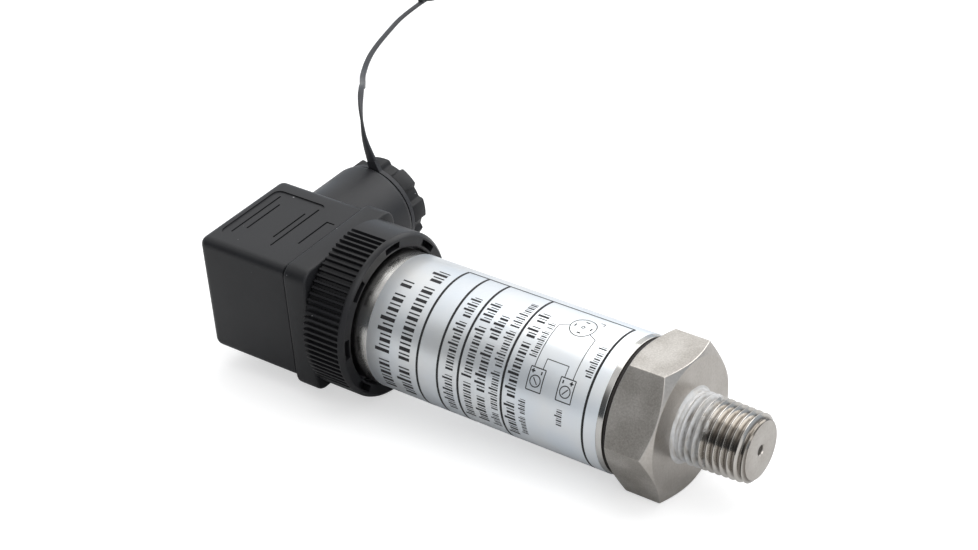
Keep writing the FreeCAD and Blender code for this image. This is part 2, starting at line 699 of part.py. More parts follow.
# ---------------------------------------------------------------- connector base
def make_connector_base():
    """Moulded base: square flange, threaded neck round the tube end, spigot inside the tube."""
    body = new_body("connector_base")
    half = "(flange_width / 2)"
    sketch = new_sketch(body, "YZ_Plane", "flange", offset=FLANGE_BACK)
    rectangle(sketch, f"-{half}", half, f"-{half}", half)
    padded(body, sketch, "flange", "flange_thickness")
    dressed(body, "Fillet", "corners", "flange_corner_r", lambda edge: runs_along(edge, X_AXIS))
    faces = (size(FLANGE_BACK), size(FLANGE_FRONT))
    dressed(body, "Fillet", "edges", "flange_edge_r",
            lambda edge: any(lies_at(edge, X_AXIS, place) for place in faces))
    spigot_r = f"({TUBE_BORE} - 0.1)"
    seal_floor = f"({TUBE_BORE} - fit_gap - base_seal_section)"
    seal_middle = f"({BASE_SPIGOT_END} - base_seal_place)"
    seal_half = "(base_seal_section / 2 + 0.2)"
    turned(body, "neck", [
        (f"{FLANGE_FRONT} - 1", "0"),
        (f"{FLANGE_FRONT} - 1", NECK_R),
        (NECK_RIM, NECK_R),
        (NECK_RIM, NECK_BORE),
        (f"{TUBE_END} - tube_stop_gap", NECK_BORE),
        (f"{TUBE_END} - tube_stop_gap", spigot_r),
        (f"{seal_middle} - {seal_half}", spigot_r),
        (f"{seal_middle} - {seal_half}", seal_floor),
        (f"{seal_middle} + {seal_half}", seal_floor),
        (f"{seal_middle} + {seal_half}", spigot_r),
        (BASE_SPIGOT_END, spigot_r),
        (BASE_SPIGOT_END, "base_cavity_r"),
        (CAVITY_FLOOR, "base_cavity_r"),
        (CAVITY_FLOOR, "0"),
    ])
    boss_half = "(boss_width / 2)"
    sketch = new_sketch(body, "YZ_Plane", "boss", offset=FLANGE_BACK)
    rectangle(sketch, f"-{boss_half}", boss_half, f"-{boss_half}", boss_half)
    padded(body, sketch, "boss", "boss_height", reverse=True)
    sketch = new_sketch(body, "YZ_Plane", "blade_slots", offset=f"{CAVITY_FLOOR} + 1")
    for across, up in blade_slots("blade_width", "blade_thickness"):
        rectangle(sketch, *across, *up)
    pocketed(body, sketch, "blade_slots", f"{CAVITY_FLOOR} - ({BOSS_BACK}) + 2")
    sketch = new_sketch(body, "YZ_Plane", "insert_seat", offset=BOSS_BACK)
    disc(sketch, "0", "0", "insert_r")
    pocketed(body, sketch, "insert_seat", "insert_length", reverse=True)
    return body


def blade_slots(width, thickness):
    """Rectangles of the four contacts, as formulas: three signal contacts, then earth."""
    near = f"blade_radius - ({thickness}) / 2"
    far = f"blade_radius + ({thickness}) / 2"
    low = f"-({width}) / 2"
    high = f"({width}) / 2"
    return [
        ((low, high), (near, far)),
        ((f"-({far})", f"-({near})"), (low, high)),
        ((low, high), (f"-({far})", f"-({near})")),
        ((near, far), (low, high)),
    ]


def make_base_seal():
    """O-ring in the spigot's groove, against the tube's bore."""
    middle = f"({BASE_SPIGOT_END} - base_seal_place)"
    radius = f"({TUBE_BORE} - fit_gap - base_seal_section / 2)"
    return seal_ring("base_seal", middle, radius, "base_seal_section / cos(30) - 0.02", True)


def make_blade_group(name, chosen):
    """The blades of one kind as a group of separate solids."""
    solids = []
    tip = size(f"({FLANGE_BACK} - blade_reach)")
    tail = size(f"{CAVITY_FLOOR} + tag_length")
    for index in chosen:
        across, up = blade_slots("blade_width", "blade_thickness")[index]
        low = Vector(tip, size(across[0]), size(up[0]))
        blade = Part.makeBox(tail - tip, size(across[1]) - low.y, size(up[1]) - low.z, low)
        tips = [edge for edge in blade.Edges
                if lies_at(edge, X_AXIS, tip) and edge.Length < size("blade_thickness") * 1.01]
        solids.append(blade.makeChamfer(size("blade_width") / 6, tips))
    return plain(name, Part.makeCompound(solids) if len(solids) > 1 else solids[0])


def make_base_insert():
    """Knurled brass insert that takes the fixing screw."""
    body = new_body("base_insert")
    front = f"({BOSS_BACK} + insert_length)"
    turned(body, "insert", [
        (BOSS_BACK, "screw_r + fit_gap"),
        (BOSS_BACK, "insert_r"),
        (front, "insert_r"),
        (front, "screw_r + fit_gap"),
    ])
    return body


def make_plug_gasket():
    """Flat square gasket between base and plug."""
    body = new_body("plug_gasket")
    outer = f"({BOX_HALF} - gasket_inset)"
    inner = "(boss_width / 2 + 0.1)"
    sketch = new_sketch(body, "YZ_Plane", "gasket", offset=BOX_FRONT)
    rectangle(sketch, f"-{outer}", outer, f"-{outer}", outer)
    rectangle(sketch, f"-{inner}", inner, f"-{inner}", inner)
    padded(body, sketch, "gasket", "gasket_thickness")
    outer_now = size(outer)
    dressed(body, "Fillet", "corners", "box_edge_r",
            lambda edge: runs_along(edge, X_AXIS) and abs(abs(edge.CenterOfMass.y) - outer_now) < 0.01)
    return body


# ---------------------------------------------------------------- plug
def make_plug_housing():
    """Moulded square housing with a gland barrel on one side and a ruled panel on top."""
    body = new_body("plug_housing")
    sketch = new_sketch(body, "YZ_Plane", "box", offset=BOX_BACK)
    rectangle(sketch, f"-{BOX_HALF}", BOX_HALF, f"-{BOX_HALF}", BOX_HALF)
    padded(body, sketch, "box", "box_length")
    back = size(BOX_BACK)
    dressed(body, "Fillet", "edges", "box_edge_r",
            lambda edge: runs_along(edge, X_AXIS) or lies_at(edge, X_AXIS, back))
    sketch = new_sketch(body, "XZ_Plane", "barrel")
    disc(sketch, GLAND_X, "0", "barrel_r")
    padded(body, sketch, "barrel", "barrel_reach", reverse=True)
    mouth = size("barrel_reach")
    dressed(body, "Fillet", "barrel_edge", "barrel_edge_r", lambda edge: lies_at(edge, Y_AXIS, mouth))
    sketch = new_sketch(body, "YZ_Plane", "cavity", offset=BOX_FRONT)
    rectangle(sketch, f"-{CAVITY_HALF}", CAVITY_HALF, f"-{CAVITY_HALF}", CAVITY_HALF)
    pocketed(body, sketch, "cavity", "box_length - box_wall")
    for name, radius, start, end in (
            ("passage", "passage_r", f"{CAVITY_HALF} - 1", f"{CHAMBER_START} + 1"),
            ("chamber", "chamber_r", CHAMBER_START, f"{THREAD_START} + 1"),
            ("thread", "gland_thread_r", THREAD_START, "barrel_reach + 1")):
        sketch = new_sketch(body, "XZ_Plane", name, offset=f"-({end})")
        disc(sketch, GLAND_X, "0", radius)
        pocketed(body, sketch, name, f"{end} - ({start})", reverse=True)
    sketch = new_sketch(body, "YZ_Plane", "screw_hole", offset=f"{BOX_BACK} - 1")
    disc(sketch, "0", "0", "screw_hole_r")
    pocketed(body, sketch, "screw_hole", "box_wall + 2", reverse=True)
    sketch = new_sketch(body, "YZ_Plane", "screw_recess", offset=f"{BOX_BACK} - 1")
    disc(sketch, "0", "0", "screw_recess_r")
    pocketed(body, sketch, "screw_recess", "screw_recess_depth + 1", reverse=True)
    panel_back = f"({BOX_BACK} + panel_back)"
    panel_half = "(panel_width / 2)"
    sketch = new_sketch(body, "XY_Plane", "panel", offset=BOX_HALF)
    rectangle(sketch, panel_back, f"{panel_back} + panel_length", f"-{panel_half}", panel_half)
    pocketed(body, sketch, "panel", "panel_depth")
    top = size(BOX_HALF)
    dressed(body, "Fillet", "panel_corners", "panel_corner_r",
            lambda edge: runs_along(edge, Z_AXIS) and edge.CenterOfMass.z > top - 1)
    make_panel_marks(body, panel_back)
    return body


def make_panel_marks(body, panel_back):
    """Plain ruled lines: two pairs in the panel and one in front of it."""
    sketch = new_sketch(body, "XY_Plane", "marks", offset=f"{BOX_HALF}")
    lines = [  # distance from the panel's rear edge, half length
        ("2.0", "7.6"),
        ("3.9", "5.1"),
        ("10.7", "5.0"),
        ("12.2", "7.6"),
        ("16.9", "4.6"),
    ]
    for behind, half in lines:
        left = f"({panel_back} + {behind} - mark_width / 2)"
        rectangle(sketch, left, f"{left} + mark_width", f"-{half}", half)
    pocketed(body, sketch, "marks", "panel_depth + mark_depth")


def make_terminal_block():
    """Insulating block that carries the four socket clamps."""
    body = new_body("terminal_block")
    half = f"({CAVITY_HALF} - block_gap)"
    sketch = new_sketch(body, "YZ_Plane", "block", offset=BLOCK_BACK)
    rectangle(sketch, f"-{half}", half, f"-{half}", half)
    padded(body, sketch, "block", "block_length")
    dressed(body, "Fillet", "corners", "block_corner_r", lambda edge: runs_along(edge, X_AXIS))
    sketch = new_sketch(body, "YZ_Plane", "sockets", offset=BLOCK_FRONT)
    for across, up in blade_slots("socket_width", "socket_depth"):
        rectangle(sketch, *across, *up)
    pocketed(body, sketch, "sockets", f"{BLOCK_FRONT} - {SOCKET_BACK}")
    sketch = new_sketch(body, "YZ_Plane", "centre_hole", offset=BLOCK_FRONT)
    disc(sketch, "0", "0", "screw_hole_r")
    pocketed(body, sketch, "centre_hole", "block_length")
    sketch = new_sketch(body, "YZ_Plane", "driver_holes", offset=BLOCK_BACK)
    for across, up, angle in blade_centres():
        disc(sketch, across, up, "terminal_head_r + 0.2")
    pocketed(body, sketch, "driver_holes", f"{SOCKET_BACK} - {BLOCK_BACK}", reverse=True)
    return body


def blade_centres():
    """Centres of the four contacts as formulas."""
    return [("0", "blade_radius", 90), ("-blade_radius", "0", 180),
            ("0", "-blade_radius", 270), ("blade_radius", "0", 0)]


def make_socket_contacts():
    """Four plated clamps: a rectangular sleeve round the blade with a solid, tapped end."""
    back = size(SOCKET_BACK)
    clamps = []
    for index, (across, up) in enumerate(blade_slots("socket_width", "socket_depth")):
        low = Vector(back, size(across[0]), size(up[0]))
        long = size("socket_length")
        clamp = Part.makeBox(long, size(across[1]) - low.y, size(up[1]) - low.z, low)
        slot_across, slot_up = blade_slots("blade_width + 2 * socket_clearance",
                                           "blade_thickness + 2 * socket_clearance")[index]
        slot_low = Vector(size(f"{FLANGE_BACK} - blade_reach") - 0.3, size(slot_across[0]), size(slot_up[0]))
        slot = Part.makeBox(long * 2, size(slot_across[1]) - slot_low.y,
                            size(slot_up[1]) - slot_low.z, slot_low)
        centre = blade_centres()[index]
        tapping = Part.makeCylinder(size("terminal_screw_r"), 2.2,
                                    Vector(back, size(centre[0]), size(centre[1])), X_AXIS)
        clamps.append(clamp.cut(slot).cut(tapping))
    return plain("socket_contacts", Part.makeCompound(clamps))


def make_terminal_screws():
    """Four slotted screws that clamp the cable's cores."""
    back = size(SOCKET_BACK)
    head_length = size("terminal_head_length")
    screws = []
    for across, up, angle in blade_centres():
        centre = Vector(back, size(across), size(up))
        head = Part.makeCylinder(size("terminal_head_r"), head_length, centre, -X_AXIS)
        shank = Part.makeCylinder(size("terminal_screw_r"), 2.0, centre, X_AXIS)
        slot = Part.makeBox(0.6, 0.6, 2 * size("terminal_head_r"),
                            centre + Vector(-head_length, -0.3, -size("terminal_head_r")))
        screws.append(head.fuse(shank).removeSplitter().cut(slot))
    return plain("terminal_screws", Part.makeCompound(screws))


def make_fixing_screw():
    """Slotted cheese-head screw through the plug into the base's insert."""
    body = new_body("fixing_screw")
    seat = f"({BOX_BACK} + screw_recess_depth - screw_seal_section)"
    tip = f"({BOSS_BACK} + insert_length - 0.5)"
    turned(body, "screw", [
        (f"{seat} - screw_head_length", "0"),
        (f"{seat} - screw_head_length", "screw_head_r"),
        (seat, "screw_head_r"),
        (seat, "screw_r"),
        (tip, "screw_r"),
        (tip, "0"),
    ])
    sketch = new_sketch(body, "YZ_Plane", "slot", offset=f"{seat} - screw_head_length")
    rectangle(sketch, "-screw_head_r * 1.1", "screw_head_r * 1.1", "-0.4", "0.4")
    pocketed(body, sketch, "slot", "screw_head_length / 2", reverse=True)
    return body


def make_screw_seal():
    """O-ring between the screw head and the housing."""
    middle = f"({BOX_BACK} + screw_recess_depth - screw_seal_section / 2)"
    radius = "(screw_hole_r + screw_seal_section / 2 + 0.15)"
    return seal_ring("screw_seal", middle, radius, "screw_seal_section / cos(30)")


# ---------------------------------------------------------------- gland, modelled along its own axis
def make_gland_grommet():
    """Rubber sleeve that grips the cable, with a coned end."""
    body = new_body("gland_grommet")
    outer = "(chamber_r - 0.1)"
    end = f"({GROMMET_START} + grommet_length)"
    turned(body, "sleeve", [
        (GROMMET_START, "grommet_bore_r"),
        (GROMMET_START, f"{outer} - 1"),
        (f"{GROMMET_START} + 1", outer),
        (end, outer),
        (end, "grommet_bore_r"),
    ])
    return body


def make_gland_washer():
    """Pressure washer between nut and grommet."""
    body = new_body("gland_washer")
    end = f"({WASHER_START} + washer_thickness)"
    turned(body, "washer", [
        (WASHER_START, "washer_bore_r"),
        (WASHER_START, "gland_thread_r - 0.3"),
        (end, "gland_thread_r - 0.3"),
        (end, "washer_bore_r"),
    ])
    return body


def make_gland_nut():
    """Gland nut: threaded shank and a lobed head."""
    body = new_body("gland_nut")
    end = f"({NUT_START} + nut_head_length)"
    turned(body, "nut", [
        (SHANK_START, "nut_bore_r"),
        (SHANK_START, "nut_thread_r"),
        (NUT_START, "nut_thread_r"),
        (NUT_START, "nut_lobe_r"),
        (f"{end} - 0.5", "nut_lobe_r"),
        (end, "nut_lobe_r - 0.5"),
        (end, "nut_bore_r + nut_bevel"),
        (f"{end} - nut_bevel", "nut_bore_r"),
    ])
    sketch = new_sketch(body, "YZ_Plane", "valley", offset=NUT_START,
                        turn="nut_lobe_angle + 180 / nut_lobes")
    half = "nut_valley_half"
    outer = "(nut_lobe_r + 0.6)"
    inner_half = "(nut_valley_half * 0.7)"
    outline(sketch, [
        (f"nut_valley_r * cos({inner_half})", f"-nut_valley_r * sin({inner_half})"),
        (f"{outer} * cos({half})", f"-{outer} * sin({half})"),
        (f"{outer} * cos({half})", f"{outer} * sin({half})"),
        (f"nut_valley_r * cos({inner_half})", f"nut_valley_r * sin({inner_half})"),
        ("nut_valley_r * 0.985", "0"),
    ])
    valley = pocketed(body, sketch, "valley", "nut_head_length", reverse=True)
    repeated(body, sketch, "valleys", valley, "360", "nut_lobes")
    return body


def tongue_end_across():
    """Sideways place of the middle of the root's end, on the gland's own cross-section."""
    return "(-tongue_offset + (tongue_reach - loop_bore_r - 0.9) * tan(tongue_lean))"


def make_strap_loop():
    """Moulded loop round the nut's shank, with the tongue that the strap grows from."""
    body = new_body("strap_loop")
    sketch = new_sketch(body, "YZ_Plane", "loop", offset="barrel_reach")
    disc(sketch, "0", "0", "loop_r")
    disc(sketch, "0", "0", "loop_bore_r")
    padded(body, sketch, "loop", "loop_thickness")
    sketch = new_sketch(body, "YZ_Plane", "tongue", offset="barrel_reach")
    base = "(loop_bore_r + 0.9)"
    end = tongue_end_across()
    half = "(tongue_end_width / 2)"
    outline(sketch, [
        ("-tongue_offset - tongue_root_width / 2", base),
        ("-tongue_offset + tongue_root_width / 2", base),
        (f"{end} + {half} * cos(tongue_lean)", f"tongue_reach - {half} * sin(tongue_lean)"),
        (f"{end} - {half} * cos(tongue_lean)", f"tongue_reach + {half} * sin(tongue_lean)"),
    ])
    padded(body, sketch, "tongue", "loop_thickness")
    return body


# ---------------------------------------------------------------- free strap, in the finished frame
def strap_points():
    """The whole route: root of the strap, its first run, then the route above."""
    lean = math.radians(size("tongue_lean"))
    root = Vector(size("barrel_reach + loop_thickness / 2"), size(tongue_end_across()),
                  size("tongue_reach"))
    first = root + Vector(0, math.sin(lean), math.cos(lean)) * size("strap_rise")
    lift = Vector(0, 0, size("strap_r"))
    return [gland.multVec(root), gland.multVec(first)] + \
        [Vector(*point) + lift for point in STRAP_ROUTE]


def make_strap():
    """The free strap, plain, as wide as the flat moulded band."""
    strap, length, radii = cord_along(strap_points(), size("strap_r"))
    print("strap length", round(length, 1), "arc radii", [round(radius, 1) for radius in radii])
    return plain("strap", strap)


def make_strap_eyelet():
    """Flat eyelet that closes the strap's free end, lying on the floor."""
    before, last = strap_points()[-2:]
    direction = (last - before).normalize()
    thickness = size("eyelet_thickness")
    centre = last + direction * (size("eyelet_neck") + size("eyelet_r"))
    base = Vector(0, 0, -thickness / 2)
    ring = Part.makeCylinder(size("eyelet_r"), thickness, base)
    neck = Part.makeBox(size("eyelet_neck + eyelet_r"), size("2 * strap_r"), thickness,
                        base + Vector(-size("eyelet_neck + eyelet_r"), -size("strap_r"), 0))
    hole = Part.makeCylinder(size("eyelet_bore_r"), thickness * 2, base - Z_AXIS * thickness / 2)
    shape = ring.fuse(neck).cut(hole).removeSplitter()
    eyelet = plain("strap_eyelet", shape)
    heading = math.degrees(math.atan2(direction.y, direction.x))
    eyelet.Placement = Placement(centre, Rotation(Z_AXIS, heading))
    return eyelet


# ---------------------------------------------------------------- assembly
process_side = [
    make_process_fitting(),
    make_body_tube(),
    make_label(),
    make_sensor_cell(),
    make_cell_seal(),
    make_cell_retainer(),
    make_circuit_board(),
    make_board_components(),
    make_cell_wires(),
    make_output_wires(),
    make_retaining_ring(),
]
plug_side = [
    make_union_ring(),
    make_connector_base(),
    make_base_seal(),
    make_blade_group("signal_blades", (0, 1, 2)),
    make_blade_group("earth_blade", (3,)),
    make_base_insert(),
    make_plug_gasket(),
    make_plug_housing(),
    make_terminal_block(),
    make_socket_contacts(),
    make_terminal_screws(),
    make_fixing_screw(),
    make_screw_seal(),
]
gland_side = [
    make_gland_grommet(),
    make_gland_washer(),
    make_gland_nut(),
    make_strap_loop(),
]
doc.recompute()


def place_all(move):
    """Puts the three groups into one frame: process side, clocked plug, and gland on the plug."""
    clocked = move * Placement(Vector(), Rotation(X_AXIS, size("plug_clocking")))
    gland = clocked * Placement(Vector(size(GLAND_X), 0, 0), Rotation(Z_AXIS, 90))
    for pieces, place in ((process_side, move), (plug_side, clocked), (gland_side, gland)):
        for piece in pieces:
            piece.Placement = place
    return clocked, gland


# The axis dips towards the thread, because the ring is larger than the hexagon: the part rests
# on the front edge of a hexagon flat and on the ring's front corner.
flat_edge = size("(hex_across_flats / 2 - hex_face_r) * tan(hex_chamfer_angle)")
ring_corner = -size(f"{RING_FRONT} - ring_bevel")
dip = math.atan2(size("ring_r - hex_across_flats / 2"), ring_corner - flat_edge)
lying = Rotation(Y_AXIS, math.degrees(dip))
place_all(Placement(Vector(), lying))
doc.recompute()
whole = FreeCAD.BoundBox()
for piece in process_side + plug_side + gland_side:
    whole.add(piece.Shape.optimalBoundingBox(False, False))
origin = Vector((whole.XMin + whole.XMax) / 2, (whole.YMin + whole.YMax) / 2, whole.ZMin)
finished = Placement(-origin, lying)
clocked, gland = place_all(finished)

strap_pieces = [make_strap(), make_strap_eyelet()]
doc.recompute()
print("whole", whole)
print("finished", finished.toMatrix().A)
print("clocked", clocked.toMatrix().A)
print("gland", gland.toMatrix().A)
print("strap", [[round(value, 2) for value in point] for point in strap_points()])

# ---------------------------------------------------------------- checks and export
for item in doc.Objects:
    if "Invalid" in item.State or "Error" in item.State:
        raise RuntimeError(f"{item.Name} did not compute: {item.State}")
nodes = process_side + plug_side + gland_side + strap_pieces
for node in nodes:
    if node.Shape.isNull() or not node.Shape.isValid():
        raise RuntimeError(f"{node.Label} has no valid shape")
os.makedirs("parts", exist_ok=True)
for node in nodes:
    node.Shape.exportStep(f"parts/{node.Label}.step")
print(len(nodes), "nodes written")
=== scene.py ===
import json
import math
import random

import bmesh
import bpy
from mathutils import Matrix, Vector


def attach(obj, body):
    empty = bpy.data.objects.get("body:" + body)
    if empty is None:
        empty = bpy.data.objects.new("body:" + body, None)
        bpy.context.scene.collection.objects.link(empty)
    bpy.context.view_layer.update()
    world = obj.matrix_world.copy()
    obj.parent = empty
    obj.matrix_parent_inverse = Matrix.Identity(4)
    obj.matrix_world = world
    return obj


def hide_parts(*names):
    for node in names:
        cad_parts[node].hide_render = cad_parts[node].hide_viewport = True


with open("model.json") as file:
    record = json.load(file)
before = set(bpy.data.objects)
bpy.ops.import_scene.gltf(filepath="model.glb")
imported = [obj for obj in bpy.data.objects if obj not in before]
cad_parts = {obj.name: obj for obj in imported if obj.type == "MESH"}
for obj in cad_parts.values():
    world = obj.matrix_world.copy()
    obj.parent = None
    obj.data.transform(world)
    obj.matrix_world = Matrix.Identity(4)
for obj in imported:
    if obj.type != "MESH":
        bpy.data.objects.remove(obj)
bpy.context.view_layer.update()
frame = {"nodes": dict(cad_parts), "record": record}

# ==== Process fitting: the hexagon ====
# Milled and turned from one bar of 27 mm stainless hexagon: both ends chamfered at 30 degrees,
# the front face turned, the flats left as rolled and dulled. It is welded into the tube's end.
mounts = {mount["name"]: mount for mount in frame["record"]["mounts"]}
STUB_LENGTH = 14.5
forward = Vector(mounts["process_thread"]["axis"]).normalized()
sideways = Vector((0, 1, 0))
upward = forward.cross(sideways).normalized()
centre = Vector(mounts["process_thread"]["pos_m"]) - forward * STUB_LENGTH * 0.001
body_place = Matrix((forward, sideways, upward)).transposed().to_4x4()
body_place.translation = centre

HEX_HALF = 13.5
HEX_HEIGHT = 10.0
HEX_FACE = 13.2
HEX_CORNER = 0.22
HALF_SIDE = math.radians(30)
CHAMFER = math.tan(HALF_SIDE)
ARC_CENTRE = (HEX_HALF - HEX_CORNER) / math.cos(HALF_SIDE)
ARC_SPAN = HALF_SIDE - math.atan((HEX_HALF - HEX_CORNER) * math.tan(HALF_SIDE) / HEX_HALF)
SPIGOT_END = -16.0
SPIGOT_RADIUS = 12.2
SPIGOT_BORE = 9.6
FACE_RINGS = (6.4, 9.0, 11.0, 12.6, HEX_FACE)
SIDE_STEPS = [0, 6, 12, 18, 23, 26, 28, 28.9, 29.3, 29.6, 29.8]


def polar(x, r, angle):
    """A point at x along an axis, at radius r and an angle from local Y towards local Z."""
    return (x, r * math.cos(angle), r * math.sin(angle))


def skin(name, rows, place, closed=True, crease=24):
    """A surface through rows of points in millimetres, stood in the frame by place."""
    count = len(rows[0])
    bm = bmesh.new()
    grid = [[bm.verts.new(Vector(point) * 0.001) for point in row] for row in rows]
    for near, far in zip(grid, grid[1:]):
        for j in range(count if closed else count - 1):
            k = (j + 1) % count
            bm.faces.new((near[j], near[k], far[k], far[j]))
    bmesh.ops.remove_doubles(bm, verts=bm.verts, dist=2e-7)
    bmesh.ops.recalc_face_normals(bm, faces=bm.faces)
    return settle(name, bm, place, crease)


def sharpen(bm, crease):
    """Marks as sharp the edges whose faces meet more steeply than crease degrees."""
    for edge in bm.edges:
        steep = len(edge.link_faces) == 2 and edge.calc_face_angle(0) > math.radians(crease)
        edge.smooth = not steep


def settle(name, bm, place, crease=24):
    """Turns edited geometry into a piece: smooth faces, sharp only where they meet steeply."""
    for face in bm.faces:
        face.smooth = True
    sharpen(bm, crease)
    mesh = bpy.data.meshes.new(name)
    bm.to_mesh(mesh)
    bm.free()
    piece = bpy.data.objects.new(name, mesh)
    bpy.context.scene.collection.objects.link(piece)
    piece.matrix_world = place
    return piece


def hex_radius(angle):
    """Distance from the axis to the hexagon's side, its corners slightly rounded."""
    off = angle % (2 * HALF_SIDE)
    off = min(off, 2 * HALF_SIDE - off)
    if off < ARC_SPAN:
        return ARC_CENTRE * math.cos(off) + math.sqrt(HEX_CORNER ** 2 - (ARC_CENTRE * math.sin(off)) ** 2)
    return HEX_HALF / math.cos(HALF_SIDE - off)


hex_angles = []
for side in range(6):
    middle = math.radians(60 * side + 30)
    offsets = [-step for step in reversed(SIDE_STEPS[1:])] + SIDE_STEPS + [30]
    hex_angles += [middle + math.radians(offset) for offset in offsets]
hex_rows = [[polar(0, r, a) for a in hex_angles] for r in FACE_RINGS]
hex_rows.append([polar(-CHAMFER * (hex_radius(a) - HEX_FACE), hex_radius(a), a) for a in hex_angles])
hex_rows.append([polar(-HEX_HEIGHT / 2, hex_radius(a), a) for a in hex_angles])
hex_rows.append([polar(CHAMFER * (hex_radius(a) - HEX_FACE) - HEX_HEIGHT, hex_radius(a), a)
                 for a in hex_angles])
hex_rows += [[polar(-HEX_HEIGHT, r, a) for a in hex_angles] for r in (HEX_FACE, SPIGOT_RADIUS)]
hex_rows += [[polar(SPIGOT_END, r, a) for a in hex_angles] for r in (SPIGOT_RADIUS, SPIGOT_BORE)]
fitting = skin("fitting_hexagon", hex_rows, body_place, crease=20)
soften = fitting.modifiers.new("deburred edges", "BEVEL")
soften.width = 0.00009
soften.segments = 2
soften.limit_method = "ANGLE"
soften.angle_limit = math.radians(22)


def new_finish(name, colour, metallic=0.0, roughness=0.5):
    """A material with its Principled shader; values that vary are linked to it later."""
    material = bpy.data.materials.new(name)
    material.use_nodes = True
    shader = material.node_tree.nodes["Principled BSDF"]
    shader.inputs["Base Color"].default_value = (*colour, 1)
    shader.inputs["Metallic"].default_value = metallic
    shader.inputs["Roughness"].default_value = roughness
    return material, material.node_tree, shader


def node(tree, kind, values=None, **settings):
    """A node with its settings, and its inputs given as values or as sockets to link."""
    made = tree.nodes.new(kind)
    for key, value in settings.items():
        setattr(made, key, value)
    for key, value in (values or {}).items():
        if isinstance(value, bpy.types.NodeSocket):
            tree.links.new(value, made.inputs[key])
        else:
            made.inputs[key].default_value = value
    return made


def calc(tree, operation, first, second=0.0, third=0.0):
    """The value of one arithmetic step."""
    return node(tree, "ShaderNodeMath", {0: first, 1: second, 2: third}, operation=operation).outputs[0]


def ramp(tree, value, low, high, start=0.0, end=1.0):
    """The value brought from low..high to start..end with soft ends."""
    return node(tree, "ShaderNodeMapRange", {"Value": value, "From Min": low, "From Max": high,
                "To Min": start, "To Max": end}, interpolation_type="SMOOTHSTEP").outputs["Result"]


def blend_colour(tree, mask, first, second):
    """First colour where the mask is 0, second where it is 1."""
    first, second = [c if isinstance(c, bpy.types.NodeSocket) else (*c, 1) for c in (first, second)]
    return node(tree, "ShaderNodeMix", {"Factor": mask, 6: first, 7: second}, data_type="RGBA").outputs[2]


def own_place(tree):
    """The position in the piece's own space, in metres."""
    return node(tree, "ShaderNodeTexCoord").outputs["Object"]


def cloud(tree, place, scale, detail, roughness=0.5):
    """A noise value of about 0.5 that varies with the place."""
    return node(tree, "ShaderNodeTexNoise", {"Vector": place, "Scale": scale, "Detail": detail,
                "Roughness": roughness}).outputs["Fac"]


def new_group(name, inputs, outputs):
    """An empty node group with its named sockets; returns it with both ends."""
    group = bpy.data.node_groups.new(name, "ShaderNodeTree")
    for label, value in inputs.items():
        socket = group.interface.new_socket(name=label, in_out="INPUT", socket_type="NodeSocketFloat")
        socket.default_value = value
    for label in outputs:
        group.interface.new_socket(name=label, in_out="OUTPUT", socket_type="NodeSocketFloat")
    return group, group.nodes.new("NodeGroupInput"), group.nodes.new("NodeGroupOutput")


def placed(tree, group, values):
    """The group used in a material with its own values."""
    return node(tree, "ShaderNodeGroup", values, node_tree=group)


def relief(tree, shader, height, strength, depth):
    """A bump into the shader's normal; depth is in metres."""
    bump = node(tree, "ShaderNodeBump", {"Height": height, "Strength": strength, "Distance": depth})
    tree.links.new(bump.outputs["Normal"], shader.inputs["Normal"])


def axis_distance(tree, split):
    """Distance from local X, from a split position."""
    squares = [calc(tree, "POWER", split.outputs[i], 2.0) for i in (1, 2)]
    return calc(tree, "SQRT", calc(tree, "ADD", *squares))


def turning_marks():
    """Fine rings left by a turning tool about local X: along the axis and across a face."""
    group, given, result = new_group("turning marks", {"Pitch": 9000.0, "Waviness": 1.0}, ["Mark"])
    place = own_place(group)
    split = node(group, "ShaderNodeSeparateXYZ", {0: place})
    along = calc(group, "ADD", split.outputs[0], axis_distance(group, split))
    line = node(group, "ShaderNodeCombineXYZ", {0: calc(group, "MULTIPLY", along, given.outputs["Pitch"]),
                1: calc(group, "MULTIPLY", split.outputs[1], 60.0),
                2: calc(group, "MULTIPLY", split.outputs[2], 60.0)})
    mark = cloud(group, line.outputs[0], 1.0, 3.0)
    group.links.new(calc(group, "MULTIPLY", mark, given.outputs["Waviness"]), result.inputs["Mark"])
    return group


def blotches():
    """Uneven dulling, stains and handling marks over a surface, as one soft value and one fine one."""
    group, given, result = new_group("blotches", {"Scale": 300.0, "Contrast": 1.0}, ["Broad", "Fine"])
    place = own_place(group)
    for label, factor, detail in (("Broad", 1.0, 3.0), ("Fine", 9.0, 5.0)):
        scale = calc(group, "MULTIPLY", given.outputs["Scale"], factor)
        centred = calc(group, "SUBTRACT", cloud(group, place, scale, detail), 0.5)
        group.links.new(calc(group, "MULTIPLY_ADD", centred, given.outputs["Contrast"], 0.5),
                        result.inputs[label])
    return group


turning_group = turning_marks()
blotch_group = blotches()


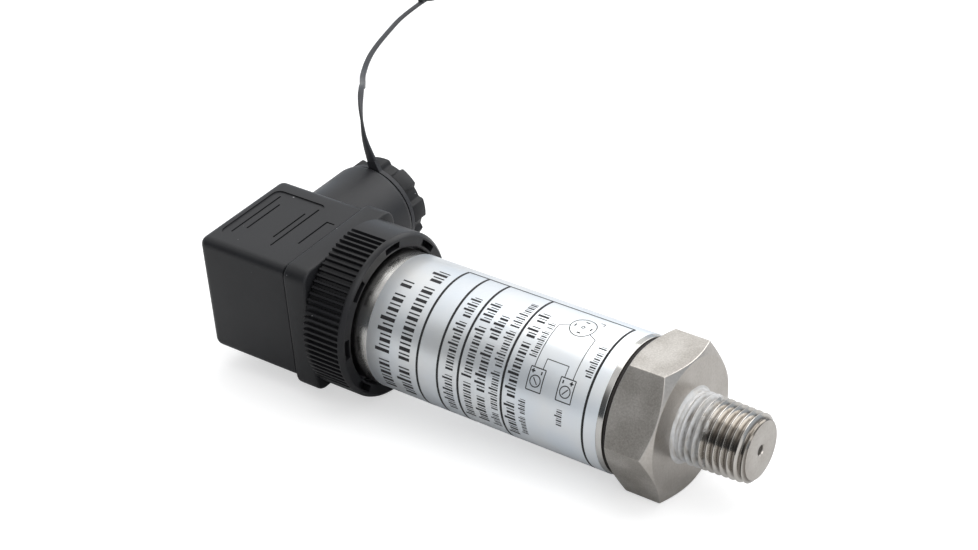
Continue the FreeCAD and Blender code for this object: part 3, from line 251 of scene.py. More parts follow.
def stainless(name):
    """Stainless bar: satin turned faces, and duller, mottled flats as the bar came from the mill."""
    material, tree, shader = new_finish(name, (0.50, 0.475, 0.44), metallic=1.0, roughness=0.32)
    coordinates = node(tree, "ShaderNodeTexCoord")
    faces_end = node(tree, "ShaderNodeSeparateXYZ", {0: coordinates.outputs["Normal"]}).outputs[0]
    flats = ramp(tree, calc(tree, "ABSOLUTE", faces_end), 0.12, 0.05)
    stains = placed(tree, blotch_group, {"Scale": 220.0, "Contrast": 1.5})
    marks = placed(tree, turning_group, {"Pitch": 7000.0, "Waviness": 1.0})
    place = coordinates.outputs["Object"]
    speckle = ramp(tree, cloud(tree, place, 2900.0, 4.0, 0.7), 0.30, 0.72)
    drift = ramp(tree, cloud(tree, place, 120.0, 2.0), 0.36, 0.62)
    tone = calc(tree, "MULTIPLY_ADD", stains.outputs["Fine"], 0.55,
                calc(tree, "MULTIPLY", stains.outputs["Broad"], 0.45))
    turned_colour = blend_colour(tree, tone, (0.42, 0.39, 0.355), (0.64, 0.61, 0.575))
    mill_tone = calc(tree, "MULTIPLY_ADD", speckle, 0.55, calc(tree, "MULTIPLY", drift, 0.45))
    mill_colour = blend_colour(tree, mill_tone, (0.36, 0.335, 0.305), (0.62, 0.595, 0.56))
    tree.links.new(blend_colour(tree, flats, turned_colour, mill_colour), shader.inputs["Base Color"])
    satin = ramp(tree, tone, 0.2, 0.8, 0.318, 0.295)
    tree.links.new(calc(tree, "MULTIPLY_ADD", flats, 0.194, satin), shader.inputs["Roughness"])
    turned_height = calc(tree, "MULTIPLY_ADD", marks.outputs["Mark"], 0.6,
                         calc(tree, "MULTIPLY", stains.outputs["Fine"], 0.7))
    height = calc(tree, "MULTIPLY_ADD", calc(tree, "MULTIPLY", speckle, flats), 0.6, turned_height)
    relief(tree, shader, height, 0.35, 0.00006)
    return material


fitting.data.materials.append(stainless("stainless hexagon"))
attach(fitting, "process_body")
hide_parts("process_fitting")

# ==== Process fitting: the threaded stub ====
# 1/4-18 taper pipe thread cut on the same bar, with a 2 mm pressure port through its middle.
# White thread sealant is left on the turns next to the hexagon.
PITCH = 1.411
THREAD_DEPTH = 0.86
TIP_RADIUS = 6.6
TAPER = 32
THREAD_START = 0.45
PORT_RADIUS = 1.0
stub_profile = [(0.00, 1.0), (0.10, 1.0), (0.20, 0.86), (0.42, 0.08), (0.455, 0.0), (0.545, 0.0),
                (0.58, 0.08), (0.80, 0.86), (0.90, 1.0)]


def crest_radius(x):
    """Radius over the thread's crests, which taper toward the tip."""
    return TIP_RADIUS + (STUB_LENGTH - x) / TAPER


def share_of(value):
    """The value held between 0 and 1."""
    return min(1.0, max(0.0, value))


def thread_point(x, cut, angle):
    """A point of the thread's surface; cut is 0 on the crest and 1 in the root."""
    started = share_of((x - 0.9) / 1.3)
    radius = crest_radius(x) - THREAD_DEPTH * (cut * started + 0.35 * (1 - started))
    radius = min(radius, TIP_RADIUS - 1.0 + (STUB_LENGTH - x) * 1.15)
    return polar(x, radius, angle)


def turned(name, profile, place, columns=160):
    """A turned piece from (x, radius) pairs along local X."""
    rows = [[polar(x, r, 2 * math.pi * i / columns) for i in range(columns)] for x, r in profile]
    return skin(name, rows, place)


THREAD_COLUMNS = 120
thread_rows = []
for turn in range(-1, int(STUB_LENGTH / PITCH) + 2):
    for share, cut in stub_profile:
        row = []
        for column in range(THREAD_COLUMNS + 1):
            x = PITCH * (turn + share + column / THREAD_COLUMNS)
            x = min(max(x, THREAD_START), STUB_LENGTH)
            row.append(thread_point(x, cut, -2 * math.pi * column / THREAD_COLUMNS))
        thread_rows.append(row)
thread = skin("fitting_thread", thread_rows, body_place, closed=False, crease=38)
neck = turned("fitting_neck", [(0.0, 7.5), (0.12, 7.1), (THREAD_START, crest_radius(THREAD_START) - 0.3)],
              body_place, 96)
tip = turned("fitting_tip", [
    (STUB_LENGTH - 0.02, 5.66), (STUB_LENGTH, 5.6), (STUB_LENGTH, 3.4), (STUB_LENGTH, 1.32),
    (STUB_LENGTH - 0.05, 1.18), (STUB_LENGTH - 0.25, PORT_RADIUS), (STUB_LENGTH - 9.0, PORT_RADIUS),
    (STUB_LENGTH - 20.5, PORT_RADIUS)], body_place, 72)


def sealed_steel():
    """Bright cut thread with white sealant smeared over its first turns."""
    material, tree, shader = new_finish("stainless thread with sealant", (0.60, 0.57, 0.53), 1.0, 0.2)
    place = own_place(tree)
    split = node(tree, "ShaderNodeSeparateXYZ", {0: place})
    crest = calc(tree, "SUBTRACT", TIP_RADIUS * 0.001 + STUB_LENGTH * 0.001 / TAPER,
                 calc(tree, "DIVIDE", split.outputs[0], TAPER))
    depth = calc(tree, "SUBTRACT", crest, axis_distance(tree, split))
    round_it = calc(tree, "ARCTAN2", split.outputs[1], split.outputs[2])
    streak_at = node(tree, "ShaderNodeCombineXYZ", {0: calc(tree, "MULTIPLY", split.outputs[0], 1500.0),
                     1: calc(tree, "MULTIPLY", round_it, 1.6)})
    smear = cloud(tree, place, 300.0, 3.0)
    streaks = cloud(tree, streak_at.outputs[0], 1.0, 4.0, 0.6)
    crumbs = cloud(tree, place, 1500.0, 2.0)
    reach = calc(tree, "MULTIPLY_ADD", smear, 0.0062, 0.0018)
    reach = calc(tree, "ADD", reach, calc(tree, "MULTIPLY", depth, 1.2))
    inside = ramp(tree, calc(tree, "SUBTRACT", reach, split.outputs[0]), -0.0006, 0.0010)
    patchy = ramp(tree, streaks, 0.36, 0.58, 0.25, 0.92)
    mask = calc(tree, "MULTIPLY", inside, patchy)
    stains = placed(tree, blotch_group, {"Scale": 260.0, "Contrast": 1.2})
    steel = blend_colour(tree, stains.outputs["Broad"], (0.50, 0.465, 0.42), (0.72, 0.70, 0.67))
    # The thread's roots are darkened towards near-black, on the steel and on the sealant alike: painted
    # shade in the roots.
    root_shade = ramp(tree, depth, 0.0003, 0.00085)
    steel = blend_colour(tree, calc(tree, "MULTIPLY", root_shade, 0.8), steel, (0.12, 0.10, 0.08))
    paste = blend_colour(tree, crumbs, (0.52, 0.53, 0.54), (0.76, 0.76, 0.76))
    paste = blend_colour(tree, calc(tree, "MULTIPLY", root_shade, 0.5), paste, (0.30, 0.29, 0.28))
    tree.links.new(blend_colour(tree, mask, steel, paste), shader.inputs["Base Color"])
    tree.links.new(calc(tree, "SUBTRACT", 1.0, mask), shader.inputs["Metallic"])
    tree.links.new(calc(tree, "MULTIPLY_ADD", mask, 0.5, 0.17), shader.inputs["Roughness"])
    height = calc(tree, "MULTIPLY", mask, calc(tree, "ADD", 0.4, streaks))
    relief(tree, shader, height, 0.35, 0.00012)
    return material


thread_finish = sealed_steel()
for piece in (thread, neck):
    piece.data.materials.append(thread_finish)
tip.data.materials.append(stainless("stainless turned tip"))
for piece in (thread, neck, tip):
    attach(piece, "process_body")
    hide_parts("process_fitting")

# ==== Body tube ====
# Drawn stainless tube of 27 mm, brushed round its length and polished bright beside the hexagon.
# A bead welds it to the hexagon, coloured near-black as painted shade for the dark gap there, and a groove
# near its rear end takes a spring ring.
TUBE_RADIUS = 13.5
TUBE_BORE = 12.25
TUBE_FRONT = -10.3
TUBE_EDGE = -10.68
TUBE_END = -74.0
LABEL_FRONT = -11.9
LABEL_END = -64.4
WELD_FRONT = -9.99


def eased(corners, steps=4):
    """An outline of (x, radius, rounding) with each corner rounded by its own radius."""
    points = []
    for i, (x, r, ease) in enumerate(corners):
        here = Vector((x, r))
        if ease == 0 or i in (0, len(corners) - 1):
            points.append((x, r))
            continue
        back = (Vector(corners[i - 1][:2]) - here).normalized()
        ahead = (Vector(corners[i + 1][:2]) - here).normalized()
        half = back.angle(ahead) / 2
        reach = ease / math.tan(half)
        middle = here + (back + ahead).normalized() * (ease / math.sin(half))
        first = here + back * reach - middle
        last = here + ahead * reach - middle
        for step in range(steps + 1):
            share = step / steps
            spoke = first.slerp(last, share).normalized() * ease
            points.append((middle.x + spoke.x, middle.y + spoke.y))
    return points


tube = turned("tube_wall", eased([
    (TUBE_FRONT - 0.4, TUBE_BORE, 0), (TUBE_FRONT, TUBE_BORE, 0), (TUBE_FRONT, 12.9, 0),
    (TUBE_EDGE, 12.9, 0), (TUBE_EDGE, TUBE_RADIUS, 0.1),
    (LABEL_FRONT - 1.0, TUBE_RADIUS, 0), (LABEL_END + 1.0, TUBE_RADIUS, 0),
    (-70.9, TUBE_RADIUS, 0.05), (-71.0, 13.0, 0), (-72.2, 13.0, 0), (-72.25, TUBE_RADIUS, 0),
    (TUBE_END, TUBE_RADIUS, 0.1), (TUBE_END, TUBE_BORE, 0.05), (TUBE_END + 0.5, TUBE_BORE, 0)]),
    body_place, 192)


def brushed_tube():
    """Stainless tube, brushed round its length and polished at the front end."""
    material, tree, shader = new_finish("brushed and polished tube", (0.62, 0.61, 0.59), 1.0, 0.3)
    place = own_place(tree)
    along = node(tree, "ShaderNodeSeparateXYZ", {0: place}).outputs[0]
    polished = ramp(tree, along, LABEL_FRONT * 0.001, LABEL_FRONT * 0.001 + 0.0002)
    marks = placed(tree, turning_group, {"Pitch": 16000.0, "Waviness": 1.0})
    stains = placed(tree, blotch_group, {"Scale": 130.0, "Contrast": 1.6})
    brushed = ramp(tree, stains.outputs["Broad"], 0.2, 0.8, 0.198, 0.222)
    tree.links.new(calc(tree, "MULTIPLY_ADD", polished, -0.065, brushed), shader.inputs["Roughness"])
    tree.links.new(blend_colour(tree, stains.outputs["Broad"], (0.50, 0.49, 0.47), (0.70, 0.69, 0.67)),
                   shader.inputs["Base Color"])
    rough = calc(tree, "MULTIPLY_ADD", polished, -0.97, 1.0)
    relief(tree, shader, calc(tree, "MULTIPLY", marks.outputs["Mark"], rough), 0.25, 0.00004)
    return material


tube.data.materials.append(brushed_tube())
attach(tube, "process_body")
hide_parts("body_tube")
weld = turned("weld_bead", [
    (WELD_FRONT, 12.1), (WELD_FRONT, 13.1), (-10.15, 13.18), (-10.6, 13.18), (TUBE_EDGE, 13.05),
    (TUBE_EDGE, 12.85), (-10.31, 12.85), (-10.31, 12.1)], body_place, 128)
# The bead's near-black colour is painted shade: it stands for the shadowed gap between the hexagon and the
# tube.
weld_shade_finish, weld_tree, weld_shader = new_finish("weld bead in painted shade", (0.02, 0.018, 0.018), 0.2, 0.6)
weld_stains = placed(weld_tree, blotch_group, {"Scale": 900.0, "Contrast": 1.5})
weld_tree.links.new(blend_colour(weld_tree, weld_stains.outputs["Fine"], (0.008, 0.007, 0.008),
                                 (0.035, 0.028, 0.024)), weld_shader.inputs["Base Color"])
relief(weld_tree, weld_shader, weld_stains.outputs["Fine"], 0.4, 0.0001)
weld.data.materials.append(weld_shade_finish)
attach(weld, "process_body")
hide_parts("body_tube")

# ==== Label ====
# Glossy metallised film wrapped once round the tube, with its lap underneath. It takes wide, soft,
# slightly blue reflections.
FILM = 0.12
FILM_GAP = 0.005
LAP_COLUMNS = 7
film_rows = []
film_angles = [math.radians(a) for a in range(-100, 261)]
for x, rise in ((LABEL_FRONT, 0.0), (LABEL_FRONT, 0.7), (LABEL_FRONT - 0.05, 1.0),
                (LABEL_END + 0.05, 1.0), (LABEL_END, 0.7), (LABEL_END, 0.0)):
    row = []
    for i, angle in enumerate(film_angles):
        lap = 0.04 if i >= len(film_angles) - LAP_COLUMNS else 0.0
        row.append(polar(x, TUBE_RADIUS + FILM_GAP + (FILM + lap) * rise, angle))
    film_rows.append(row)
film = skin("label_film", film_rows, body_place, closed=False, crease=40)


def metal_film():
    """Metallised film under a clear gloss, slightly uneven where it was smoothed down, with painted blue
    reflection mixed into its colour.
    """
    material, tree, shader = new_finish("metallised label film", (0.82, 0.84, 0.86), 0.55, 0.3)
    place = own_place(tree)
    waves = cloud(tree, place, 55.0, 1.0)
    stains = placed(tree, blotch_group, {"Scale": 90.0, "Contrast": 1.0})
    # The pale blue in the film's colour is painted reflection of the blue surroundings; the warm white is
    # the film's own colour. The two are mixed at random over the label.
    tree.links.new(blend_colour(tree, stains.outputs["Broad"], (0.72, 0.80, 0.89), (0.90, 0.885, 0.85)),
                   shader.inputs["Base Color"])
    tree.links.new(ramp(tree, stains.outputs["Broad"], 0.2, 0.8, 0.295, 0.318), shader.inputs["Roughness"])
    relief(tree, shader, waves, 0.05, 0.0004)
    shader.inputs["Coat Weight"].default_value = 0.25
    shader.inputs["Coat Roughness"].default_value = 0.12
    return material


film.data.materials.append(metal_film())
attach(film, "process_body")
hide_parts("label")

# ==== Label print ====
# Black ink on the film. The table's ruled lines and the two little circuit boxes are kept; every
# line of words is set in plain blocks that say nothing.
PRINT_RADIUS = TUBE_RADIUS + FILM_GAP + FILM + 0.02
INK_STEP = math.radians(2.5)
ink_bm = bmesh.new()


def ink_patch(x_low, x_high, start, end):
    """A printed rectangle: x in millimetres along the body, start and end in degrees round it."""
    start, end = math.radians(start), math.radians(end)
    cuts = max(1, math.ceil((end - start) / INK_STEP))
    for i in range(cuts):
        a = start + (end - start) * i / cuts
        b = start + (end - start) * (i + 1) / cuts
        corners = [ink_bm.verts.new(Vector(polar(x, PRINT_RADIUS, t)) * 0.001)
                   for x, t in ((x_low, a), (x_high, a), (x_high, b), (x_low, b))]
        ink_bm.faces.new(corners)


def ink_stroke(points, width):
    """A printed line through (x, degrees) points, as wide as width millimetres."""
    flat = [Vector((x, math.radians(a) * PRINT_RADIUS)) for x, a in points]
    for p, q in zip(flat, flat[1:]):
        aside = (q - p).normalized().orthogonal() * width / 2
        cuts = max(1, math.ceil(abs(q.y - p.y) / PRINT_RADIUS / INK_STEP))
        for i in range(cuts):
            near, far = p.lerp(q, i / cuts), p.lerp(q, (i + 1) / cuts)
            corners = [ink_bm.verts.new(Vector(polar(c.x, PRINT_RADIUS, c.y / PRINT_RADIUS)) * 0.001)
                       for c in (near + aside, near - aside, far - aside, far + aside)]
            ink_bm.faces.new(corners)


def ink_ring(x, degrees, radius, width, parts=28):
    """A printed circle."""
    ring = []
    for i in range(parts + 1):
        turn = 2 * math.pi * i / parts
        ring.append((x + radius * math.cos(turn),
                     degrees + math.degrees(radius * math.sin(turn) / PRINT_RADIUS)))
    ink_stroke(ring, width)


def greeked_words(x, start, end, height, weight, seed):
    """A row of words as groups of plain upright bars, thick and thin, tall and short."""
    dice = random.Random(seed)
    per_mm = math.degrees(1 / PRINT_RADIUS)
    foot = x + height / 2
    small = 0.74
    at = end
    left = dice.randint(3, 8)
    while True:
        thick = weight * height * dice.uniform(0.9, 1.1)
        thin = thick * 0.42
        space = height * dice.uniform(0.11, 0.17)
        wide = thick + space + thin
        if at - wide * per_mm < start:
            break
        tall = 1.0 if dice.random() < 0.4 else small
        ink_patch(foot - height * tall, foot, at - thick * per_mm, at)
        ink_patch(foot - height * small, foot, at - wide * per_mm, at - (thick + space) * per_mm)
        at -= (wide + height * 0.15) * per_mm
        left -= 1
        if left == 0:
            at -= height * 0.34 * per_mm
            left = dice.randint(2, 8)


TABLE_FRONT = -14.7
TABLE_BACK = -52.2
TABLE_TOP = 75
TABLE_END = 250
RULE = 0.5
for x in (TABLE_BACK, -47.4, -42.6, -32.7, TABLE_FRONT):
    ink_patch(x - RULE / 2, x + RULE / 2, TABLE_TOP, TABLE_END)
for degrees in (TABLE_TOP, TABLE_END):
    ink_stroke([(TABLE_BACK, degrees), (TABLE_FRONT, degrees)], 0.4)
for seed, words in enumerate((
        (-60.5, 104, 214, 3.4, 0.21), (-55.7, 84, 214, 3.4, 0.21), (-45.0, 100, 210, 2.3, 0.18),
        (-40.7, 100, 210, 2.3, 0.18), (-37.6, 112, 210, 2.4, 0.20), (-34.5, 88, 210, 2.0, 0.16),
        (-30.8, 96, 212, 2.4, 0.21), (-28.2, 101, 136, 1.6, 0.16), (-16.2, 108, 137, 1.7, 0.16),
        (-28.0, 168, 206, 1.5, 0.17), (-20.0, 168, 182, 1.6, 0.17)), 3):
    greeked_words(*words, seed)

# The wiring picture: the round connector, then the two boxes with their signs, then the wires.
THIN = 0.2
PINS_X = -22.6
PINS_AT = 97
ink_ring(PINS_X, PINS_AT, 2.55, THIN)
ink_ring(PINS_X, PINS_AT, 0.32, THIN, 12)
for x in (PINS_X - 1.7, PINS_X + 1.7):
    ink_stroke([(x, PINS_AT - 1.6), (x, PINS_AT + 1.6)], THIN * 1.6)
for degrees in (PINS_AT - 7, PINS_AT + 7):
    ink_stroke([(PINS_X - 0.4, degrees), (PINS_X + 0.4, degrees)], THIN * 1.6)
BOX_TOP = 143.0
BOX_FOOT = BOX_TOP + 18.5
BOX_SIDE = 1.6
for x, needle in ((-26.0, (8, 13)), (-19.45, (13, 8))):
    ink_stroke([(x - BOX_SIDE, BOX_TOP), (x + BOX_SIDE, BOX_TOP), (x + BOX_SIDE, BOX_FOOT),
                (x - BOX_SIDE, BOX_FOOT), (x - BOX_SIDE, BOX_TOP)], THIN)
    ink_ring(x, BOX_TOP + 10.5, 1.1, THIN, 20)
    ink_stroke([(x - 0.5, BOX_TOP + needle[0]), (x + 0.5, BOX_TOP + needle[1])], THIN)
for x in (-26.95, -18.6):
    ink_stroke([(x - 0.4, 146), (x + 0.4, 146)], THIN * 1.4)
    ink_stroke([(x, 144.3), (x, 147.7)], THIN * 1.4)
for x in (-25.1, -20.4):
    ink_stroke([(x, 145.0), (x, 147.6)], THIN * 1.4)
for route in ([(-27.0, BOX_TOP), (-27.0, 103), (-25.0, 99)],
              [(-25.1, BOX_TOP), (-25.1, 134), (-20.4, 134), (-20.4, BOX_TOP)],
              [(-18.6, BOX_TOP), (-18.6, 106), (-20.4, 102)],
              [(-19.6, 88), (-19.6, 84.5), (-20.6, 84.5)]):
    ink_stroke(route, THIN * 0.8)
bmesh.ops.recalc_face_normals(ink_bm, faces=ink_bm.faces)
ink = settle("label_print", ink_bm, body_place)
ink_finish, ink_tree, ink_shader = new_finish("black print ink", (0.02, 0.02, 0.022), 0.0, 0.45)
ink_shader.inputs["Specular IOR Level"].default_value = 0.15
ink_stains = placed(ink_tree, blotch_group, {"Scale": 700.0, "Contrast": 1.0})
ink_tree.links.new(blend_colour(ink_tree, ink_stains.outputs["Fine"], (0.012, 0.012, 0.013),
                                (0.05, 0.05, 0.052)), ink_shader.inputs["Base Color"])
ink.data.materials.append(ink_finish)
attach(ink, "process_body")

# ==== Union ring ====
# Injection-moulded ring that pulls the plug's base onto the tube. Fine grip ribs cover two long
# zones of its outside, and the front face has eight shallow moulding pockets.
RING_RADIUS = 17.05
RING_FRONT = -67.7
RING_BACK = -77.45
RING_BORE = 14.1
NECK_BORE = 15.2
RIB_PITCH = 4.3
RIB_COUNT = 29
GROOVE_HALF = 0.26
GROOVE_SIDE = 0.20
POCKETS = 8
POCKET_PITCH = 45
FIRST_POCKET = 41
POCKET_HALF = 8
POCKET_DEPTH = 0.002
POCKET_BAND = 11
ring_place = body_place @ Matrix.Rotation(math.radians(5.72), 4, "X")
rib_centres = [first + RIB_PITCH * i for first in (89.3, 269.3) for i in range(RIB_COUNT)]


def rib_cut(degrees):
    """Depth of the grooves between the ribs at an angle, 0 on a rib and 1 in a groove."""
    nearest = min(abs((degrees - c + 180) % 360 - 180) for c in rib_centres)
    across = math.radians(nearest) * RING_RADIUS
    if across < GROOVE_HALF:
        return 1.0
    if across < GROOVE_HALF + GROOVE_SIDE:
        return 1.0 - ((across - GROOVE_HALF) / GROOVE_SIDE) ** 1.5
    return 0.0


rib_degrees = {round(c + off, 3) % 360 for c in rib_centres
               for off in (-1.55, -1.3, -1.08, -0.87, 0, 0.87, 1.08, 1.3, 1.55, 2.15)}
plain_degrees = {float(d) for first in (34, 214) for d in range(first, first + 52, 2)}
pocket_degrees = {round(FIRST_POCKET + POCKET_PITCH * k + off, 3) % 360
                  for k in range(POCKETS) for off in (-POCKET_HALF, POCKET_HALF)}
ring_degrees = sorted(rib_degrees | plain_degrees | pocket_degrees)
ring_rows = []
for x, radius, depth in ((RING_BACK, NECK_BORE, 0), (RING_BACK, RING_RADIUS - 0.3, 0.5),
                         (RING_BACK + 0.3, RING_RADIUS, 0.75), (-72.0, RING_RADIUS, 0.75),
                         (-69.15, RING_RADIUS, 0.75), (-68.9, RING_RADIUS, 0.45),
                         (-68.7, RING_RADIUS, 0.0), (-68.5, RING_RADIUS, 0),
                         (-68.35, RING_RADIUS - 0.06, 0), (-67.85, 16.5, 0), (RING_FRONT, 16.3, 0),
                         (RING_FRONT, 15.95, 0), (RING_FRONT, 14.65, 0), (RING_FRONT, 14.28, 0),
                         (RING_FRONT - 0.18, RING_BORE, 0), (-70.9, RING_BORE, 0),
                         (-70.9, NECK_BORE, 0), (RING_BACK, NECK_BORE, 0)):
    ring_rows.append([polar(x, radius - depth * rib_cut(d), math.radians(d)) for d in ring_degrees])
columns = len(ring_degrees)
ring_bm = bmesh.new()
grid = [[ring_bm.verts.new(Vector(point) * 0.001) for point in row] for row in ring_rows]
pocket_faces = []
for i, (near, far) in enumerate(zip(grid, grid[1:])):
    for j in range(columns):
        k = (j + 1) % columns
        face = ring_bm.faces.new((near[j], near[k], far[k], far[j]))
        middle = (ring_degrees[j] + (ring_degrees[k] + 360 * (k == 0))) / 2
        off = (middle - FIRST_POCKET + POCKET_PITCH / 2) % POCKET_PITCH - POCKET_PITCH / 2
        if i == POCKET_BAND and abs(off) < POCKET_HALF:
            pocket_faces.append(face)
bmesh.ops.recalc_face_normals(ring_bm, faces=ring_bm.faces)
sunk = bmesh.ops.extrude_face_region(ring_bm, geom=pocket_faces)
bmesh.ops.translate(ring_bm, vec=(-POCKET_DEPTH, 0, 0),
                    verts=[v for v in sunk["geom"] if isinstance(v, bmesh.types.BMVert)])
bmesh.ops.delete(ring_bm, geom=pocket_faces, context="FACES_ONLY")
bmesh.ops.remove_doubles(ring_bm, verts=ring_bm.verts, dist=2e-7)
bmesh.ops.recalc_face_normals(ring_bm, faces=ring_bm.faces)
ring = settle("ribbed_union_ring", ring_bm, ring_place, crease=32)


def moulded_skin():
    """The spark-eroded grain of a mould, and dust that clings to it: fine height, and a mask."""
    group, given, result = new_group("moulded skin", {"Grain": 5200.0, "Dust": 0.70}, ["Height", "Dust"])
    place = own_place(group)
    fine = cloud(group, place, given.outputs["Grain"], 2.0, 0.6)
    height = calc(group, "MULTIPLY_ADD", cloud(group, place, 160.0, 2.0), 0.5, fine)
    specks = node(group, "ShaderNodeTexVoronoi", {"Vector": place, "Scale": 420.0, "Randomness": 1.0})
    small = ramp(group, specks.outputs["Distance"], 0.10, 0.05)
    chosen = ramp(group, cloud(group, place, 900.0, 1.0), given.outputs["Dust"],
                  calc(group, "ADD", given.outputs["Dust"], 0.02))
    group.links.new(height, result.inputs["Height"])
    group.links.new(calc(group, "MULTIPLY", small, chosen), result.inputs["Dust"])
    return group


moulded_group = moulded_skin()


def black_plastic(name, colour, roughness, grain=5200.0, bump=0.16, dust=0.66):
    """Glass-filled polyamide, charcoal, with mould grain, faint handling sheen and a little dust."""
    material, tree, shader = new_finish(name, colour, 0.0, roughness)
    shader.inputs["Specular IOR Level"].default_value = 0.3
    surface = placed(tree, moulded_group, {"Grain": grain, "Dust": dust})
    stains = placed(tree, blotch_group, {"Scale": 70.0, "Contrast": 1.3})
    light = tuple(c * 1.18 for c in colour)
    dark = tuple(c * 0.86 for c in colour)
    tone = blend_colour(tree, stains.outputs["Broad"], dark, light)
    tree.links.new(blend_colour(tree, surface.outputs["Dust"], tone, (0.35, 0.35, 0.36)),
                   shader.inputs["Base Color"])
    tree.links.new(ramp(tree, stains.outputs["Broad"], 0.25, 0.75, roughness - 0.05, roughness + 0.06),
                   shader.inputs["Roughness"])
    relief(tree, shader, surface.outputs["Height"], bump, 0.00005)
    return material


ring.data.materials.append(black_plastic("union ring plastic", (0.012, 0.012, 0.0135), 0.33, bump=0.08))
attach(ring, "union_ring")
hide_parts("union_ring")

# ==== Connector base ====
# Moulded square base between ring and plug, with rounded corners. Its threaded neck and spigot
# are inside the ring and the tube, so only the flange shows.
FLANGE_HALF = 14.2
FLANGE_CORNER = 2.8
FLANGE_FRONT = -77.85
FLANGE_BACK = -83.35
FLANGE_EDGE = 0.6


def rounded_outline(half_wide, half_high, corner, cuts=8):
    """A rectangle about the origin with rounded corners, as points."""
    points = []
    for quarter in range(4):
        for i in range(cuts + 1):
            turn = math.radians(90 * quarter + 90 * i / cuts)
            wide = (half_wide - corner) * (1 if quarter in (0, 3) else -1)
            high = (half_high - corner) * (1 if quarter in (0, 1) else -1)
            points.append((wide + corner * math.cos(turn), high + corner * math.sin(turn)))
    return points


def rounded_end(face, inward, half, corner, ease, cuts):
    """Cross-sections of a block's end from its face inward, its edge rounded by ease."""
    sections = []
    for i in range(cuts + 1):
        turn = math.radians(90 * i / cuts)
        shrink = ease - ease * math.sin(turn)
        sections.append((face + inward * ease * (1 - math.cos(turn)), half - shrink,
                         max(0.02, corner - shrink)))
    return sections


def square_block(name, sections, place, crease=30):
    """A block through square cross-sections of (x, half width, corner radius), closed at both ends."""
    rows = []
    for x, half, corner in sections:
        rows.append([(x, y, z) for y, z in rounded_outline(half, half, corner)])
    rows.insert(0, [(sections[0][0], 0, 0)] * len(rows[0]))
    rows.append([(sections[-1][0], 0, 0)] * len(rows[0]))
    return skin(name, rows, place, crease=crease)


flange_sections = rounded_end(FLANGE_BACK, 1, FLANGE_HALF, FLANGE_CORNER, FLANGE_EDGE, 4)
flange_sections += reversed(rounded_end(FLANGE_FRONT, -1, FLANGE_HALF, FLANGE_CORNER, FLANGE_EDGE, 4))
flange = square_block("base_flange", flange_sections, ring_place)
neck_wall = turned("base_neck", [(-78.2, 13.0), (-77.6, 15.15), (-72.9, 15.15), (-72.65, 14.9),
                                 (-72.65, 13.55), (-74.0, 13.55)], ring_place, 96)
base_finish = black_plastic("base plastic", (0.015, 0.0153, 0.017), 0.40)
for piece in (flange, neck_wall):
    piece.data.materials.append(base_finish)
    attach(piece, "plug_head")
    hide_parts("connector_base")

# ==== Plug housing ====
# Square moulded housing with soft edges; a round gland barrel leaves its side. The top has a
# shallow panel with plain ruled lines. The fixing screw's slotted head stands on the rear face,
# which is closed here: its recess and hole are on the construction shape only.
BOX_HALF = 13.15
BOX_FRONT = -84.15
BOX_BACK = -106.35
BOX_ROUND = 1.9
GLAND_X = BOX_BACK + 10.3
BARREL_RADIUS = 10.5
BARREL_END = 29.4
BARREL_BORE = 7.6
CABLE_HOLE = 4.6
gland_centre = Matrix.Translation((GLAND_X * 0.001, 0, 0))
gland_place = ring_place @ gland_centre @ Matrix.Rotation(math.pi / 2, 4, "Z")

box_sections = rounded_end(BOX_BACK, 1, BOX_HALF, BOX_ROUND, BOX_ROUND, 7)
box_sections.append((BOX_FRONT - 0.15, BOX_HALF, BOX_ROUND))
box_sections.append((BOX_FRONT, BOX_HALF - 0.15, BOX_ROUND - 0.1))
box = square_block("plug_box", box_sections, ring_place)


def block_cutter(name, low, high, corner, place, cuts=6):
    """A block to cut with, from low to high in x and y, its upright edges rounded."""
    bm = bmesh.new()
    middle_x, middle_y = (low[0] + high[0]) / 2, (low[1] + high[1]) / 2
    outline = [(middle_x + x, middle_y + y) for x, y in
               rounded_outline((high[0] - low[0]) / 2, (high[1] - low[1]) / 2, corner, cuts)]
    floor = [bm.verts.new(Vector((x, y, low[2])) * 0.001) for x, y in outline]
    roof = [bm.verts.new(Vector((x, y, high[2])) * 0.001) for x, y in outline]
    bm.faces.new(list(reversed(floor)))
    bm.faces.new(roof)
    for i in range(len(outline)):
        k = (i + 1) % len(outline)
        bm.faces.new((floor[i], floor[k], roof[k], roof[i]))
    return settle(name, bm, place)


def baked(piece):
    """A new mesh of the piece as its modifiers or its curve make it."""
    bpy.context.view_layer.update()
    return bpy.data.meshes.new_from_object(piece.evaluated_get(bpy.context.evaluated_depsgraph_get()))


def carve(piece, cutters):
    """Cuts the cutters out of the piece for good and removes them."""
    for cutter in cutters:
        step = piece.modifiers.new("cut", "BOOLEAN")
        step.operation = "DIFFERENCE"
        step.solver = "EXACT"
        step.object = cutter
    carved = baked(piece)
    piece.modifiers.clear()
    piece.data = carved
    for cutter in cutters:
        bpy.data.objects.remove(cutter)
    bm = bmesh.new()
    bm.from_mesh(carved)
    sharpen(bm, 28)
    bm.to_mesh(carved)
    bm.free()


